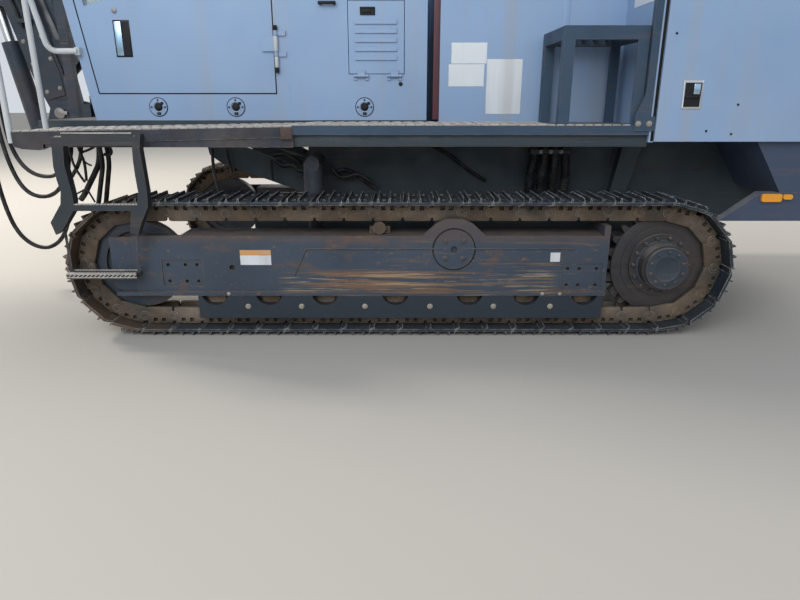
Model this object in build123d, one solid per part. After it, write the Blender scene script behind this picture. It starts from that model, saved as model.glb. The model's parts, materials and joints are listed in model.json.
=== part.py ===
from build123d import *
import math
import os

# A self-propelled crawler drill for blastholes, in millimetres.
# X runs from its front to its rear, Y from its left side to its right, Z up.
# It is modelled about the middle of its tracks. The last function moves it to the middle of its box.

# Running gear
CHAIN_PITCH = 171.45
SPROCKET_TEETH = 23
WHEEL_CENTRES = 3117
TRACK_Y = 1030
SHOE_WIDTH = 340
SHOE_THICK = 13
GROUSER = 28
LINK_HALF = 54
RAIL_THICK = 34
RAIL_Y = 62
ROLLER_R = 78
ROLLER_X = (-1105, -781, -447, -27, 415, 753, 1100)
CARRIER_X = -120
CARRIER_R = 36

# Track frames
FRAME_FRONT = -1285
FRAME_REAR = 1200
FRAME_IN = TRACK_Y - 115
FRAME_OUT = TRACK_Y + 120
FRAME_PLATE = 35
FRAME_BOTTOM = 345
FRAME_TOP = 600
LEDGE_Z = 266
SKIRT_Z = 100
SKIRT_FRONT = -1205
SKIRT_REAR = 1210
PIVOT_X = 316
PIVOT_Z = 520
PIVOT_R = 95
PIVOT_CAP_R = 118
PAD_HOLE_R = 11
PAD_ROW_STEP = 100

# Chassis: a deep box under the housings, and a thin platform in front of it
CHASSIS_FRONT = -2300
BOX_FRONT = -600
BOX_REAR = 1490
PLATFORM_NEAR = 1060
PLATFORM_FAR = 990
CHASSIS_REAR = 2450
CHASSIS_HALF = 520
CHASSIS_BOTTOM = 620
CHASSIS_TOP = 1060

# Walkway on the left
DECK_Z = 1216
DECK_THICK = 30
DECK_OUT = 1100
DECK_REAR = 1395
DECK_JOIN = -603
DECK_FRONT = -2180
LIP_BOTTOM = 1165
BEAM_BOTTOM = 1100

# Ladder on the left, which clears the track's frame
LADDER_CLEAR = 60
LADDER_WIDE = 55
LADDER_IN = FRAME_OUT + LADDER_CLEAR
LADDER_OUT = LADDER_IN + LADDER_WIDE
STEP_DEEP = 85
RAIL_TUBE_R = 17

# Cab
CAB_LEFT = -520
CAB_RIGHT = 400
CAB_FRONT = -1960
CAB_REAR = 170
CAB_FLOOR = 1226
CAB_TOP = 2900
CAB_RAKE = 8.4
CAB_WALL = 50
ROOF_THICK = 60
DOOR_REAR = -790
DOOR_BOTTOM = 1394
DOOR_TOP = 2760
PANEL_GAP = 4

# Housings
MIDDLE_FRONT = 250
MIDDLE_TOP = 2550
HOUSING_FRONT = 1395
HOUSING_REAR = 3050
HOUSING_BOTTOM = 1126
ENGINE_DOOR_FRONT = 1427
ENGINE_DOOR_BOTTOM = 1130
ENGINE_DOOR_TOP = 2496
HOUSING_TOP = 2620
HOUSING_WALL = 40
COOLER_HALF = 850
COOLER_LOW = HOUSING_BOTTOM + 174
COOLER_HIGH = HOUSING_TOP - 170

# Boom
BOOM_Y = 620
SWING_X = -2430
BOOM_FOOT = (-2700, 1250)
BOOM_LENGTH = 1760
BOOM_RISE = 75
BOOM_HALF = 110
PIN_R = 40
PIN_GAP = 0.1
HINGE_OFF = 14
KNUCKLE_R = 13
SEAT_GAP = 0.3

# Feed
FEED_FRONT_REACH = 2400
FEED_LENGTH = 7600
FEED_LIFT = 200
FEED_HEIGHT = 240
FLANGE_HALF = 165
FLANGE_THICK = 24
WEB_HALF = 95
SLIDE_GAP = 0.4
DRILL_AXIS = 210
ROD_R = 26
ROD_LENGTH = 3660
CAROUSEL_Y = 410
CAROUSEL_Z = 300
CAROUSEL_R = 110
CAROUSEL_SHAFT_R = 25

# Six-hole pads of a track frame: columns of holes, height of the lower row, and the pad's two ends
PADS = (((-1369, -1267, -1198), 326, (-1405, -1165)), ((991, 1060, 1162), 302, (956, 1196)))

WHEEL_X = WHEEL_CENTRES / 2
WHEEL_R = CHAIN_PITCH / (2 * math.sin(2 * math.pi / SPROCKET_TEETH))
WHEEL_Z = WHEEL_R + LINK_HALF + SHOE_THICK + GROUSER
LOOP_LENGTH = 2 * WHEEL_CENTRES + 2 * math.pi * WHEEL_R
LINKS = round(LOOP_LENGTH / CHAIN_PITCH)
RISE = math.radians(BOOM_RISE)
BOOM_ALONG = (-math.cos(RISE), math.sin(RISE))
BOOM_ACROSS = (-math.sin(RISE), -math.cos(RISE))


def on_boom(along, across):
    """A point (x, z) beside the boom: along it from its foot, and across it towards the front."""
    return (
        BOOM_FOOT[0] + along * BOOM_ALONG[0] + across * BOOM_ACROSS[0],
        BOOM_FOOT[1] + along * BOOM_ALONG[1] + across * BOOM_ACROSS[1],
    )


HEAD = on_boom(BOOM_LENGTH, 0)
FEED_BACK = HEAD[1] + FEED_LIFT
FEED_FACE = FEED_BACK + FEED_HEIGHT
FEED_FRONT = HEAD[0] - FEED_FRONT_REACH
FEED_REAR = FEED_FRONT + FEED_LENGTH
BOX_MIDDLE = (FEED_FRONT + HOUSING_REAR) / 2

# Cylinders, each as (foot, eye) in the plane of its boom
LIFT = ((-2960, 1045), on_boom(1000, 200))
TILT_ARM = 240
TILT_ARM_ANGLE = -32.5
TILT = (
    on_boom(400, -215),
    (
        HEAD[0] + TILT_ARM * math.cos(math.radians(TILT_ARM_ANGLE)),
        HEAD[1] + TILT_ARM * math.sin(math.radians(TILT_ARM_ANGLE)),
    ),
)
SWING_ARM = 260
SWING_FOOT = (-1640, BOOM_Y + SWING_ARM)
SWING_EYE = (SWING_X, BOOM_Y + SWING_ARM)
SWING_Z = 1120
POST_LOW = 990
POST_HIGH = 1330
EAR_THICK = 50


def block(x0, x1, y0, y1, z0, z1):
    return Pos((x0 + x1) / 2, (y0 + y1) / 2, (z0 + z1) / 2) * Box(x1 - x0, y1 - y0, z1 - z0)


def side_plate(points, y0, y1):
    """An outline of (x, z) points as a plate between y0 and y1."""
    return extrude(Plane.XZ.offset(-y1) * Polygon(*points, align=None), y1 - y0, dir=(0, -1, 0))


def cross_plate(points, x0, x1):
    """An outline of (y, z) points as a plate between x0 and x1."""
    return extrude(Plane.YZ.offset(x0) * Polygon(*points, align=None), x1 - x0, dir=(1, 0, 0))


def flat_plate(points, z0, z1):
    """An outline of (x, y) points as a plate between z0 and z1."""
    return extrude(Plane.XY.offset(z0) * Polygon(*points, align=None), z1 - z0, dir=(0, 0, 1))


def round_x(y, z, radius, x0, x1):
    return Pos((x0 + x1) / 2, y, z) * Rot(0, 90, 0) * Cylinder(radius, x1 - x0)


def round_y(x, z, radius, y0, y1):
    return Pos(x, (y0 + y1) / 2, z) * Rot(90, 0, 0) * Cylinder(radius, y1 - y0)


def round_z(x, y, radius, z0, z1):
    return Pos(x, y, (z0 + z1) / 2) * Cylinder(radius, z1 - z0)


def bar(start, end, radius):
    """A round bar between two points."""
    way = Vector(*end) - Vector(*start)
    plane = Plane(origin=start, z_dir=way)
    return plane * Cylinder(radius, way.length, align=(Align.CENTER, Align.CENTER, Align.MIN))


def mirrored(side, y0, y1):
    """Two distances from the middle plane as a low and a high Y on that side."""
    return (y0, y1) if side > 0 else (-y1, -y0)


def joined(shapes):
    return Part() + list(shapes)


def apart(shapes):
    solids = []
    for shape in shapes:
        solids += shape.solids()
    return Compound(solids)


# Tracks


def loop_point(along, out):
    """A point (x, z) on the track's loop, so far along its pitch line and so far outside it."""
    along = along % LOOP_LENGTH
    half_turn = math.pi * WHEEL_R
    reach = WHEEL_R + out
    if along < WHEEL_CENTRES:
        return (-WHEEL_X + along, WHEEL_Z - reach)
    along -= WHEEL_CENTRES
    if along < half_turn:
        turn = along / WHEEL_R
        return (WHEEL_X + reach * math.sin(turn), WHEEL_Z - reach * math.cos(turn))
    along -= half_turn
    if along < WHEEL_CENTRES:
        return (WHEEL_X - along, WHEEL_Z + reach)
    turn = (along - WHEEL_CENTRES) / WHEEL_R
    return (-WHEEL_X - reach * math.sin(turn), WHEEL_Z + reach * math.cos(turn))


def loop_outline(steps):
    """A closed outline that repeats a link's steps, each a share of the pitch and a distance outside."""
    pitch = LOOP_LENGTH / LINKS
    return [loop_point((link + share) * pitch, out) for link in range(LINKS) for share, out in steps]


def track(side):
    plate = LINK_HALF + SHOE_THICK
    tip = plate + GROUSER
    shoe = [
        (0.0, plate - 7), (0.06, tip - 3), (0.14, plate), (0.36, plate), (0.43, tip), (0.51, plate),
        (0.74, plate), (0.81, tip), (0.9, plate),
    ]
    link = [(0.5, -LINK_HALF)]
    inner = [(0.5, LINK_HALF)]
    y0, y1 = mirrored(side, TRACK_Y - SHOE_WIDTH / 2, TRACK_Y + SHOE_WIDTH / 2)
    belt = side_plate(loop_outline(shoe), y0, y1) - side_plate(loop_outline(inner), y0 - 1, y1 + 1)
    rails = []
    for rail in (-RAIL_Y, RAIL_Y):
        middle = side * TRACK_Y + rail
        low, high = middle - RAIL_THICK / 2, middle + RAIL_THICK / 2
        outer = side_plate(loop_outline([(0.5, LINK_HALF + 4)]), low, high)
        rails.append(outer - side_plate(loop_outline(link), low - 1, high + 1))
    return joined([belt] + rails)


def sprocket(side):
    points = []
    for tooth in range(SPROCKET_TEETH):
        # columns: share of the tooth's step, radius
        for share, radius in ((0.0, 276), (0.36, 276), (0.56, 326), (0.8, 326)):
            turn = 2 * math.pi * (tooth + share) / SPROCKET_TEETH
            points.append((WHEEL_X + radius * math.cos(turn), WHEEL_Z + radius * math.sin(turn)))
    y0, y1 = mirrored(side, TRACK_Y - 30, TRACK_Y + 30)
    rim0, rim1 = mirrored(side, TRACK_Y + 30, TRACK_Y + 42)
    return side_plate(points, y0, y1) + round_y(WHEEL_X, WHEEL_Z, 227, rim0, rim1)


def final_drive(side):
    # columns: radius, distance from the middle plane where it starts and ends
    steps = ((186, TRACK_Y + 30, TRACK_Y + 62), (136, TRACK_Y + 62, TRACK_Y + 140), (186, FRAME_IN + 30, TRACK_Y - 30))
    solids = []
    for radius, near, far in steps:
        y0, y1 = mirrored(side, near, far)
        solids.append(round_y(WHEEL_X, WHEEL_Z, radius, y0, y1))
    y0, y1 = mirrored(side, TRACK_Y + 62, TRACK_Y + 76)
    for bolt in range(14):
        turn = 2 * math.pi * bolt / 14
        solids.append(round_y(WHEEL_X + 164 * math.cos(turn), WHEEL_Z + 164 * math.sin(turn), 11, y0, y1))
    outer = joined([solids[0], solids[1]] + solids[3:])
    return apart([outer, solids[2]])


def idler(side):
    y0, y1 = mirrored(side, TRACK_Y - 44, TRACK_Y + 44)
    wheel = round_y(-WHEEL_X, WHEEL_Z, WHEEL_R - LINK_HALF - 1, y0, y1)
    for near, far in ((y0, y0 + 22), (y1 - 22, y1)):
        wheel -= round_y(-WHEEL_X, WHEEL_Z, 205, near, far) - round_y(-WHEEL_X, WHEEL_Z, 92, near, far)
    hub0, hub1 = mirrored(side, FRAME_IN + 30, FRAME_OUT - FRAME_PLATE)
    return wheel + round_y(-WHEEL_X, WHEEL_Z, 60, hub0, hub1)


def rollers(side):
    tread_z = WHEEL_Z - WHEEL_R + LINK_HALF
    y0, y1 = mirrored(side, FRAME_IN + 12, FRAME_OUT - FRAME_PLATE - 12)
    middle_z = tread_z + ROLLER_R + SEAT_GAP
    solids = []
    for x in ROLLER_X:
        roller = round_y(x, middle_z, ROLLER_R, y0, y1)
        for near in (y0 - 12, y1):
            roller += block(x - 50, x + 50, near, near + 12, middle_z - 40, FRAME_BOTTOM)
        solids.append(roller)
    carrier_z = WHEEL_Z + WHEEL_R - LINK_HALF - CARRIER_R - SEAT_GAP
    near, far = mirrored(side, TRACK_Y - 85, TRACK_Y + 85)
    carrier = round_y(CARRIER_X, carrier_z, CARRIER_R, near, far)
    carrier += block(CARRIER_X - 60, CARRIER_X + 60, near + 55, far - 55, FRAME_TOP, carrier_z)
    solids.append(carrier)
    return apart(solids)


def track_frame(side):
    y0, y1 = mirrored(side, FRAME_IN, FRAME_OUT - FRAME_PLATE)
    beam = block(FRAME_FRONT, FRAME_REAR, y0, y1, FRAME_BOTTOM, FRAME_TOP)
    p0, p1 = mirrored(side, FRAME_OUT - FRAME_PLATE, FRAME_OUT)
    face = [
        (-1565, LEDGE_Z), (1220, LEDGE_Z), (1220, FRAME_TOP), (PIVOT_X + 185, FRAME_TOP),
        (PIVOT_X + 105, 672), (PIVOT_X + 50, 700), (PIVOT_X - 50, 700), (PIVOT_X - 105, 672),
        (PIVOT_X - 185, FRAME_TOP), (-1565, FRAME_TOP),
    ]
    plate = side_plate(face, p0, p1)
    plate += side_plate([(-1700, 300), (-1660, LEDGE_Z), (-1560, LEDGE_Z), (-1560, 590), (-1700, 590)], *mirrored(
        side, FRAME_OUT - FRAME_PLATE, FRAME_OUT - 10))
    plate += block(-1685, 1222, *mirrored(side, FRAME_OUT - FRAME_PLATE, FRAME_OUT + 16), LEDGE_Z - 24, LEDGE_Z)
    s0, s1 = mirrored(side, FRAME_OUT - FRAME_PLATE, FRAME_OUT + 12)
    skirt = block(SKIRT_FRONT, SKIRT_REAR, s0, s1, SKIRT_Z, LEDGE_Z - 20)
    for x in ROLLER_X:
        window = round_y(x, SKIRT_Z + 160, 80, s0 - 1, s1 + 1)
        skirt -= window & block(x - 80, x + 80, s0 - 1, s1 + 1, SKIRT_Z + 70, LEDGE_Z - 24)
    end0, end1 = mirrored(side, FRAME_IN, FRAME_OUT)
    end_plate = block(1188, 1222, end0, end1, 170, FRAME_TOP + 60)
    yoke0, yoke1 = mirrored(side, FRAME_IN, FRAME_IN + 30)
    inner = block(-1640, FRAME_FRONT, yoke0, yoke1, 330, 540)
    drive_plate = side_plate(
        [(1190, 250), (WHEEL_X + 80, 270), (WHEEL_X + 150, 340), (WHEEL_X + 150, 500), (WHEEL_X + 80, 570), (1190, 590)],
        yoke0, yoke1,
    )
    motor = round_y(WHEEL_X, WHEEL_Z, 120, *mirrored(side, FRAME_IN - 130, FRAME_IN + 1))
    frame = joined([beam, plate, skirt, end_plate, inner, drive_plate, motor])
    ring0, ring1 = mirrored(side, FRAME_OUT - 18, FRAME_OUT + 1)
    frame -= round_y(PIVOT_X, PIVOT_Z, PIVOT_CAP_R + 10, ring0, ring1)
    cap0, cap1 = mirrored(side, FRAME_OUT - 18, FRAME_OUT + 4)
    frame += round_y(PIVOT_X, PIVOT_Z, PIVOT_CAP_R, cap0, cap1)
    hole0, hole1 = mirrored(side, FRAME_OUT - 14, FRAME_OUT + 5)
    frame -= round_y(PIVOT_X, PIVOT_Z, 20, hole0, hole1)
    for columns, low, edges in PADS:
        frame -= block(edges[0], edges[1], *mirrored(side, FRAME_OUT - 6, FRAME_OUT + 1), low - 30, low + PAD_ROW_STEP + 34)
        for x in columns:
            for z in (low, low + PAD_ROW_STEP):
                frame -= round_y(x, z, PAD_HOLE_R, *mirrored(side, FRAME_OUT - 30, FRAME_OUT + 1))
    frame -= round_y(-991, 410, 18, *mirrored(side, FRAME_OUT - 30, FRAME_OUT + 1))
    bore0, bore1 = mirrored(side, FRAME_IN - 1, FRAME_OUT - 60)
    frame -= round_y(PIVOT_X, PIVOT_Z, PIVOT_R, bore0, bore1)
    return frame


def pivot_axle():
    axle = round_y(PIVOT_X, PIVOT_Z, PIVOT_R, -FRAME_OUT + 60, FRAME_OUT - 60)
    saddle = side_plate(
        [(PIVOT_X - 260, CHASSIS_BOTTOM), (PIVOT_X - 150, PIVOT_Z - 130), (PIVOT_X + 150, PIVOT_Z - 130), (PIVOT_X + 260, CHASSIS_BOTTOM)],
        -CHASSIS_HALF + 60, CHASSIS_HALF - 60,
    )
    return axle + saddle


def oscillation_cylinders():
    """A short upright cylinder each side, between the chassis and the front of the track frame."""
    solids = []
    for side in (-1, 1):
        x = -540
        y = side * (FRAME_IN - 155)
        ram = bar((x, y, 470), (x, y, 700), 42) + bar((x, y, 700), (x, y, 980), 62)
        foot_pin = round_y(x, 470, 45, *mirrored(side, abs(y) - 60, FRAME_IN))
        head_pin = round_y(x, 980, 45, *mirrored(side, CHASSIS_HALF, abs(y) + 60))
        solids.append(joined([ram, foot_pin, head_pin]))
    return apart(solids)


def chassis():
    """The deep box with its saddle, the platform in front of it, its braces and the swing post."""
    half = CHASSIS_HALF
    parts = []
    box_view = [(BOX_FRONT, CHASSIS_BOTTOM), (BOX_REAR - 90, CHASSIS_BOTTOM), (BOX_REAR, CHASSIS_TOP), (BOX_FRONT, CHASSIS_TOP)]
    rear_view = [(1790, HOUSING_BOTTOM), (2000, 776), (CHASSIS_REAR, 760), (CHASSIS_REAR, HOUSING_BOTTOM)]
    brace_view = [(-1260, 1064), (-1250, 1010), (-1170, 950), (-560, 735), (-560, 892), (-1038, 1064)]
    for y in (-half, half - 40):
        parts.append(side_plate(box_view, y, y + 40))
        parts.append(side_plate(brace_view, y, y + 40))
        parts.append(side_plate(rear_view, y, y + 40))
        parts.append(block(BOX_REAR - 60, CHASSIS_REAR, y, y + 40, CHASSIS_TOP - 20, HOUSING_BOTTOM))
    for side in (-1, 1):
        for x, z in ((-812, 956), (-676, 897)):
            parts.append(round_y(x, z, 32, *mirrored(side, half - 60, half + 16)))
    # columns: front of a cross member, its underside and its top
    for x, low, high in (
        (BOX_FRONT, CHASSIS_BOTTOM, CHASSIS_TOP), (PIVOT_X - 200, 800, CHASSIS_TOP), (PIVOT_X + 160, 800, CHASSIS_TOP),
        (1360, CHASSIS_BOTTOM, CHASSIS_TOP), (2040, 800, HOUSING_BOTTOM), (CHASSIS_REAR - 40, 760, HOUSING_BOTTOM),
    ):
        parts.append(block(x, x + 40, -half, half, low, high))
    parts.append(block(BOX_FRONT, BOX_REAR, -half, half, CHASSIS_TOP - 40, CHASSIS_TOP))
    parts.append(block(BOX_FRONT, 1400, -half, half, CHASSIS_BOTTOM, CHASSIS_BOTTOM + 40))
    # platform: side beams, cross members and a plate under the cab
    parts.append(block(CHASSIS_FRONT, BOX_FRONT + 40, -half, -half + 80, PLATFORM_NEAR, CAB_FLOOR))
    parts.append(block(CHASSIS_FRONT, BOX_FRONT + 40, half - 80, half, PLATFORM_FAR, CAB_FLOOR))
    for x in (-1940, -1500, -1060, BOX_FRONT):
        parts.append(block(x, x + 40, -half, half, PLATFORM_NEAR, CAB_FLOOR - 30))
    parts.append(block(CHASSIS_FRONT, CAB_REAR - 20, -half + 40, half - 60, CAB_FLOOR - 30, CAB_FLOOR))
    parts.append(block(CHASSIS_FRONT - 40, CHASSIS_FRONT, -half, half - 60, PLATFORM_NEAR, CAB_FLOOR))
    # plate and ears that carry the swing post
    parts.append(block(CHASSIS_FRONT, CHASSIS_FRONT + 40, half - 100, BOOM_Y + 180, POST_LOW, POST_HIGH + EAR_THICK))
    for z0 in (POST_LOW, POST_HIGH):
        ear = flat_plate(
            [(CHASSIS_FRONT, BOOM_Y - 170), (SWING_X - 10, BOOM_Y - 86), (SWING_X - 10, BOOM_Y + 86), (CHASSIS_FRONT, BOOM_Y + 170)],
            z0, z0 + EAR_THICK,
        )
        parts.append(ear + round_z(SWING_X, BOOM_Y, 90, z0, z0 + EAR_THICK))
    # beam and plates that hold the swing cylinder's foot
    parts.append(block(CHASSIS_FRONT, -1560, half, half + 80, PLATFORM_FAR, CAB_FLOOR))
    for z0 in (SWING_Z - 80, SWING_Z + 54 + SEAT_GAP):
        parts.append(block(-1700, -1560, half, SWING_FOOT[1] + 60, z0, z0 + 26 - SEAT_GAP))
    for x in (-700, 200, 1150):
        parts.append(block(x, x + 60, half, 1060, CHASSIS_TOP - 90, CHASSIS_TOP))
    for y in (CAB_LEFT + 15, CAB_RIGHT - 85):
        parts.append(block(BOX_FRONT, CAB_REAR - 20, y, y + 70, CHASSIS_TOP, CAB_FLOOR))
    frame = joined(parts)
    return frame + round_z(SWING_X, BOOM_Y, PIN_R, POST_LOW, POST_HIGH + EAR_THICK)


def lower_tank():
    """The tank and beam under the rear housing, with its slanted front edge."""
    outline = [(2036, HOUSING_BOTTOM), (2225, 823), (2900, 823), (2900, HOUSING_BOTTOM)]
    beam = [(1880, 672), (1923, 700), (2108, 838), (2900, 838), (2900, 672)]
    parts = [block(CHASSIS_REAR, 2900, -CHASSIS_HALF, CHASSIS_HALF, 823, HOUSING_BOTTOM)]
    for side in (-1, 1):
        parts.append(side_plate(outline, *mirrored(side, CHASSIS_HALF, 1056)))
        parts.append(side_plate(beam, *mirrored(side, 990, 1060)))
    # towing fork with its pin
    for y in (-75, 45):
        parts.append(block(2890, 2990, y, y + 30, 850, 960))
    parts.append(round_y(2955, 905, 22, -85, 85))
    return joined(parts)


# Left side platforms


def walkway():
    """The deck along the left side, its lip, the beam set back under it, and gussets to the chassis."""
    deck_low = DECK_Z - DECK_THICK
    parts = [
        block(DECK_JOIN, DECK_REAR, -DECK_OUT, CAB_LEFT - 10, deck_low, DECK_Z),
        block(DECK_JOIN, DECK_REAR, -DECK_OUT, -DECK_OUT + 14, LIP_BOTTOM, DECK_Z),
        block(DECK_JOIN, DECK_REAR, -DECK_OUT + 25, -DECK_OUT + 39, BEAM_BOTTOM, deck_low + 5),
        block(DECK_JOIN, DECK_REAR, -CHASSIS_HALF - 70, -CHASSIS_HALF, CHASSIS_TOP + 20, deck_low),
    ]
    # post at the rear end, bolted to the lip through its foot plate
    face = -DECK_OUT - 8
    parts.append(block(1303, HOUSING_FRONT + 20, face, -DECK_OUT, 1187, 1265))
    parts.append(side_plate([(1303, 1264), (1392, 1264), (1392, 1389), (1350, 1389)], face, -DECK_OUT))
    parts.append(block(1350, HOUSING_FRONT - 5, face, -DECK_OUT + 30, 1200, 2560))
    parts.append(block(1360, HOUSING_FRONT, -DECK_OUT, -DECK_OUT + 30, 2480, 2540))
    for x in (-560, 240, 1000):
        gusset = [(-CHASSIS_HALF, CHASSIS_TOP + 20), (-900, 1120), (-DECK_OUT + 30, deck_low + 5), (-CHASSIS_HALF, deck_low + 5)]
        parts.append(cross_plate(gusset, x, x + 20))
    return joined(parts)


def front_grating():
    """Open serrated grating that falls a little towards the front, in its frame."""
    fall = 28
    y_in = CAB_LEFT - 28
    parts = []
    frame_points = [(DECK_FRONT, 1111), (DECK_JOIN, 1152), (DECK_JOIN, DECK_Z - 6), (DECK_FRONT, DECK_Z - 6 - fall)]
    for y in (-DECK_OUT, y_in):
        parts.append(side_plate(frame_points, y, y + 18))
    # dark beam under its outer edge, and the bent plate under its front end
    parts.append(side_plate([(-2000, 1098), (DECK_JOIN, 1098), (DECK_JOIN, 1156), (-2000, 1120)], -DECK_OUT + 6, -DECK_OUT + 20))
    parts.append(side_plate([(-2180, 1113), (-2180, 1102), (-2130, 1088), (-2040, 1082), (-2012, 1092), (-2012, 1118)], -DECK_OUT, -DECK_OUT + 60))
    bars = 14
    for index in range(bars + 1):
        share = index / bars
        x = DECK_FRONT + share * (DECK_JOIN - 20 - DECK_FRONT)
        z = DECK_Z - fall - 11 + share * fall
        parts.append(block(x, x + 20, -DECK_OUT, y_in + 18, z - 40, z))
    for index in range(1, 6):
        y = -DECK_OUT + index * (DECK_OUT + CAB_LEFT) / 6
        parts.append(side_plate(
            [(DECK_FRONT, DECK_Z - fall - 44), (DECK_JOIN, DECK_Z - 44), (DECK_JOIN, DECK_Z - 10), (DECK_FRONT, DECK_Z - fall - 10)],
            y, y + 10,
        ))
    for x in (-1900, -900):
        parts.append(block(x, x + 60, y_in, -CHASSIS_HALF, BEAM_BOTTOM, DECK_Z - 30))
    return joined(parts)


def ladder():
    """Two bent side plates that hang from the walkway, with a top bar and a tread between them."""
    left = [
        (-1870, 1163), (-1808, 1163), (-1822, 1022), (-1809, 904), (-1803, 822), (-1816, 761), (-1887, 665),
        (-1932, 631), (-1951, 702), (-1878, 805), (-1866, 871), (-1877, 937), (-1883, 1012),
    ]
    right = [
        (-1440, 1163), (-1389, 1180), (-1402, 1102), (-1397, 996), (-1391, 871), (-1397, 789), (-1440, 705),
        (-1472, 631), (-1515, 642), (-1492, 772), (-1456, 794), (-1440, 871), (-1445, 958), (-1446, 1038),
    ]
    parts = [side_plate(points, -LADDER_OUT, -LADDER_IN) for points in (left, right)]
    parts.append(block(-1825, -1445, -LADDER_OUT, -LADDER_IN, 766, 799))
    parts.append(block(-1815, -1436, -LADDER_OUT, -LADDER_OUT + 14, 1117, 1185))
    parts.append(block(-1868, -1436, -LADDER_OUT, -DECK_OUT, 1142, 1163))
    return joined(parts)


def lower_step():
    """A tread on two straps under the ladder."""
    parts = [block(-1916, -1514, -LADDER_OUT + 5, -LADDER_OUT + 5 + STEP_DEEP, 372, 402)]
    for strap in ([(-1916, 372), (-1902, 372), (-1902, 665), (-1916, 665)], [(-1528, 372), (-1514, 372), (-1484, 665), (-1500, 665)]):
        parts.append(side_plate(strap, -LADDER_IN, -LADDER_IN + 6))
    return joined(parts)


def step_box():
    """A stool of angle bars with a tread on top, in front of the middle housing."""
    x0, x1 = 885, 1345
    y0, y1 = -1085, -560
    top = 1733
    parts = [block(x0, x1, y0, y1, top - 70, top)]
    parts[0] -= block(x0 + 60, x1 - 60, y0 + 60, y1 - 60, top - 80, top + 10)
    for x in (x0, x1 - 60):
        for y in (y0, y1 - 60):
            leg = block(x, x + 60, y, y + 60, DECK_Z, top - 10)
            leg -= block(x + (8 if x == x0 else -8), x + (68 if x == x0 else 52), y + 8, y + 60, DECK_Z, top)
            parts.append(leg)
    for index in range(5):
        x = x0 + 70 + index * 72
        parts.append(block(x, x + 18, y0, y1, top - 40, top))
    return joined(parts)


def handrails():
    """Bent tubes: one down the cab's front corner, one round the front grating, one along the roof."""
    solids = []
    y = CAB_LEFT - 20 - RAIL_TUBE_R
    cab_rail = FilletPolyline((-2000, y, 1640), (-2180, y, 1640), (-2390, y, 2700), (-2150, y, 2700), radius=70)
    tube = sweep(Plane(cab_rail @ 0, z_dir=cab_rail % 0) * Circle(RAIL_TUBE_R), cab_rail)
    for x, z in ((-2005, 1640), (-2155, 2700)):
        tube += block(x - 14, x + 14, y, CAB_LEFT, z - 22, z + 22)
    solids.append(tube)
    x = DECK_FRONT - RAIL_TUBE_R
    deck_rail = FilletPolyline((x, -1080, 1120), (x, -1080, 2100), (x, -700, 2100), (x, -700, 1120), radius=90)
    solids.append(sweep(Plane(deck_rail @ 0, z_dir=deck_rail % 0) * Circle(RAIL_TUBE_R), deck_rail))
    return solids


# Cab


def cab_front_x(z):
    return CAB_FRONT - (z - CAB_FLOOR) * math.tan(math.radians(CAB_RAKE))


def cab_shell():
    """The cab's welded walls and floor, with the window and door openings cut through them."""
    outline = [(cab_front_x(CAB_FLOOR), CAB_FLOOR), (DOOR_REAR + 90, CAB_FLOOR), (DOOR_REAR + 90, CAB_TOP), (cab_front_x(CAB_TOP), CAB_TOP)]
    shell = side_plate(outline, CAB_LEFT, CAB_RIGHT)
    w = CAB_WALL
    room = [
        (cab_front_x(CAB_FLOOR + w) + w, CAB_FLOOR + w), (DOOR_REAR + 90 - w, CAB_FLOOR + w),
        (DOOR_REAR + 90 - w, CAB_TOP + 5), (cab_front_x(CAB_TOP + 5) + w, CAB_TOP + 5),
    ]
    shell -= side_plate(room, CAB_LEFT + w, CAB_RIGHT - w)
    opening = door_outline(PANEL_GAP)
    shell -= side_plate(opening, CAB_LEFT - 1, CAB_LEFT + w + 1)
    # right window, front window, rear window
    right = [(cab_front_x(1750) + 120, 1750), (DOOR_REAR - 20, 1750), (DOOR_REAR - 20, 2760), (cab_front_x(2760) + 120, 2760)]
    shell -= side_plate(right, CAB_RIGHT - w - 1, CAB_RIGHT + 1)
    shell -= block(cab_front_x(CAB_TOP) - 20, cab_front_x(1500) + w + 40, CAB_LEFT + 90, CAB_RIGHT - 90, 1500, 2780)
    shell -= block(DOOR_REAR, DOOR_REAR + 100, CAB_LEFT + 160, CAB_RIGHT - 160, 1950, 2760)
    return shell


def door_outline(margin):
    """The door's outline, or the opening's when it is a margin larger."""
    front = 50 - margin
    low, high = DOOR_BOTTOM - margin, DOOR_TOP + margin
    return [(cab_front_x(low) + front + 20, low), (DOOR_REAR + margin, low), (DOOR_REAR + margin, high), (cab_front_x(high) + front + 20, high)]


def cab_door():
    door = side_plate(door_outline(0), CAB_LEFT, CAB_LEFT + CAB_WALL)
    window = [
        (cab_front_x(1900) + 120, 1900), (DOOR_REAR - 110, 2150), (DOOR_REAR - 110, DOOR_TOP - 80),
        (cab_front_x(DOOR_TOP - 80) + 120, DOOR_TOP - 80),
    ]
    door -= side_plate(window, CAB_LEFT - 1, CAB_LEFT + CAB_WALL + 1)
    door -= block(-1810, -1740, CAB_LEFT - 1, CAB_LEFT + 22, 1612, 1808)
    for z in (1640, 2560):
        door += block(DOOR_REAR - 70, DOOR_REAR + 18, CAB_LEFT - 12, CAB_LEFT, z, z + 90)
        door += round_z(DOOR_REAR + 18, CAB_LEFT - HINGE_OFF, KNUCKLE_R, z, z + 90)
        door -= round_z(DOOR_REAR + 18, CAB_LEFT - HINGE_OFF, 6 + PIN_GAP, z - 1, z + 91)
    return door


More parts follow.
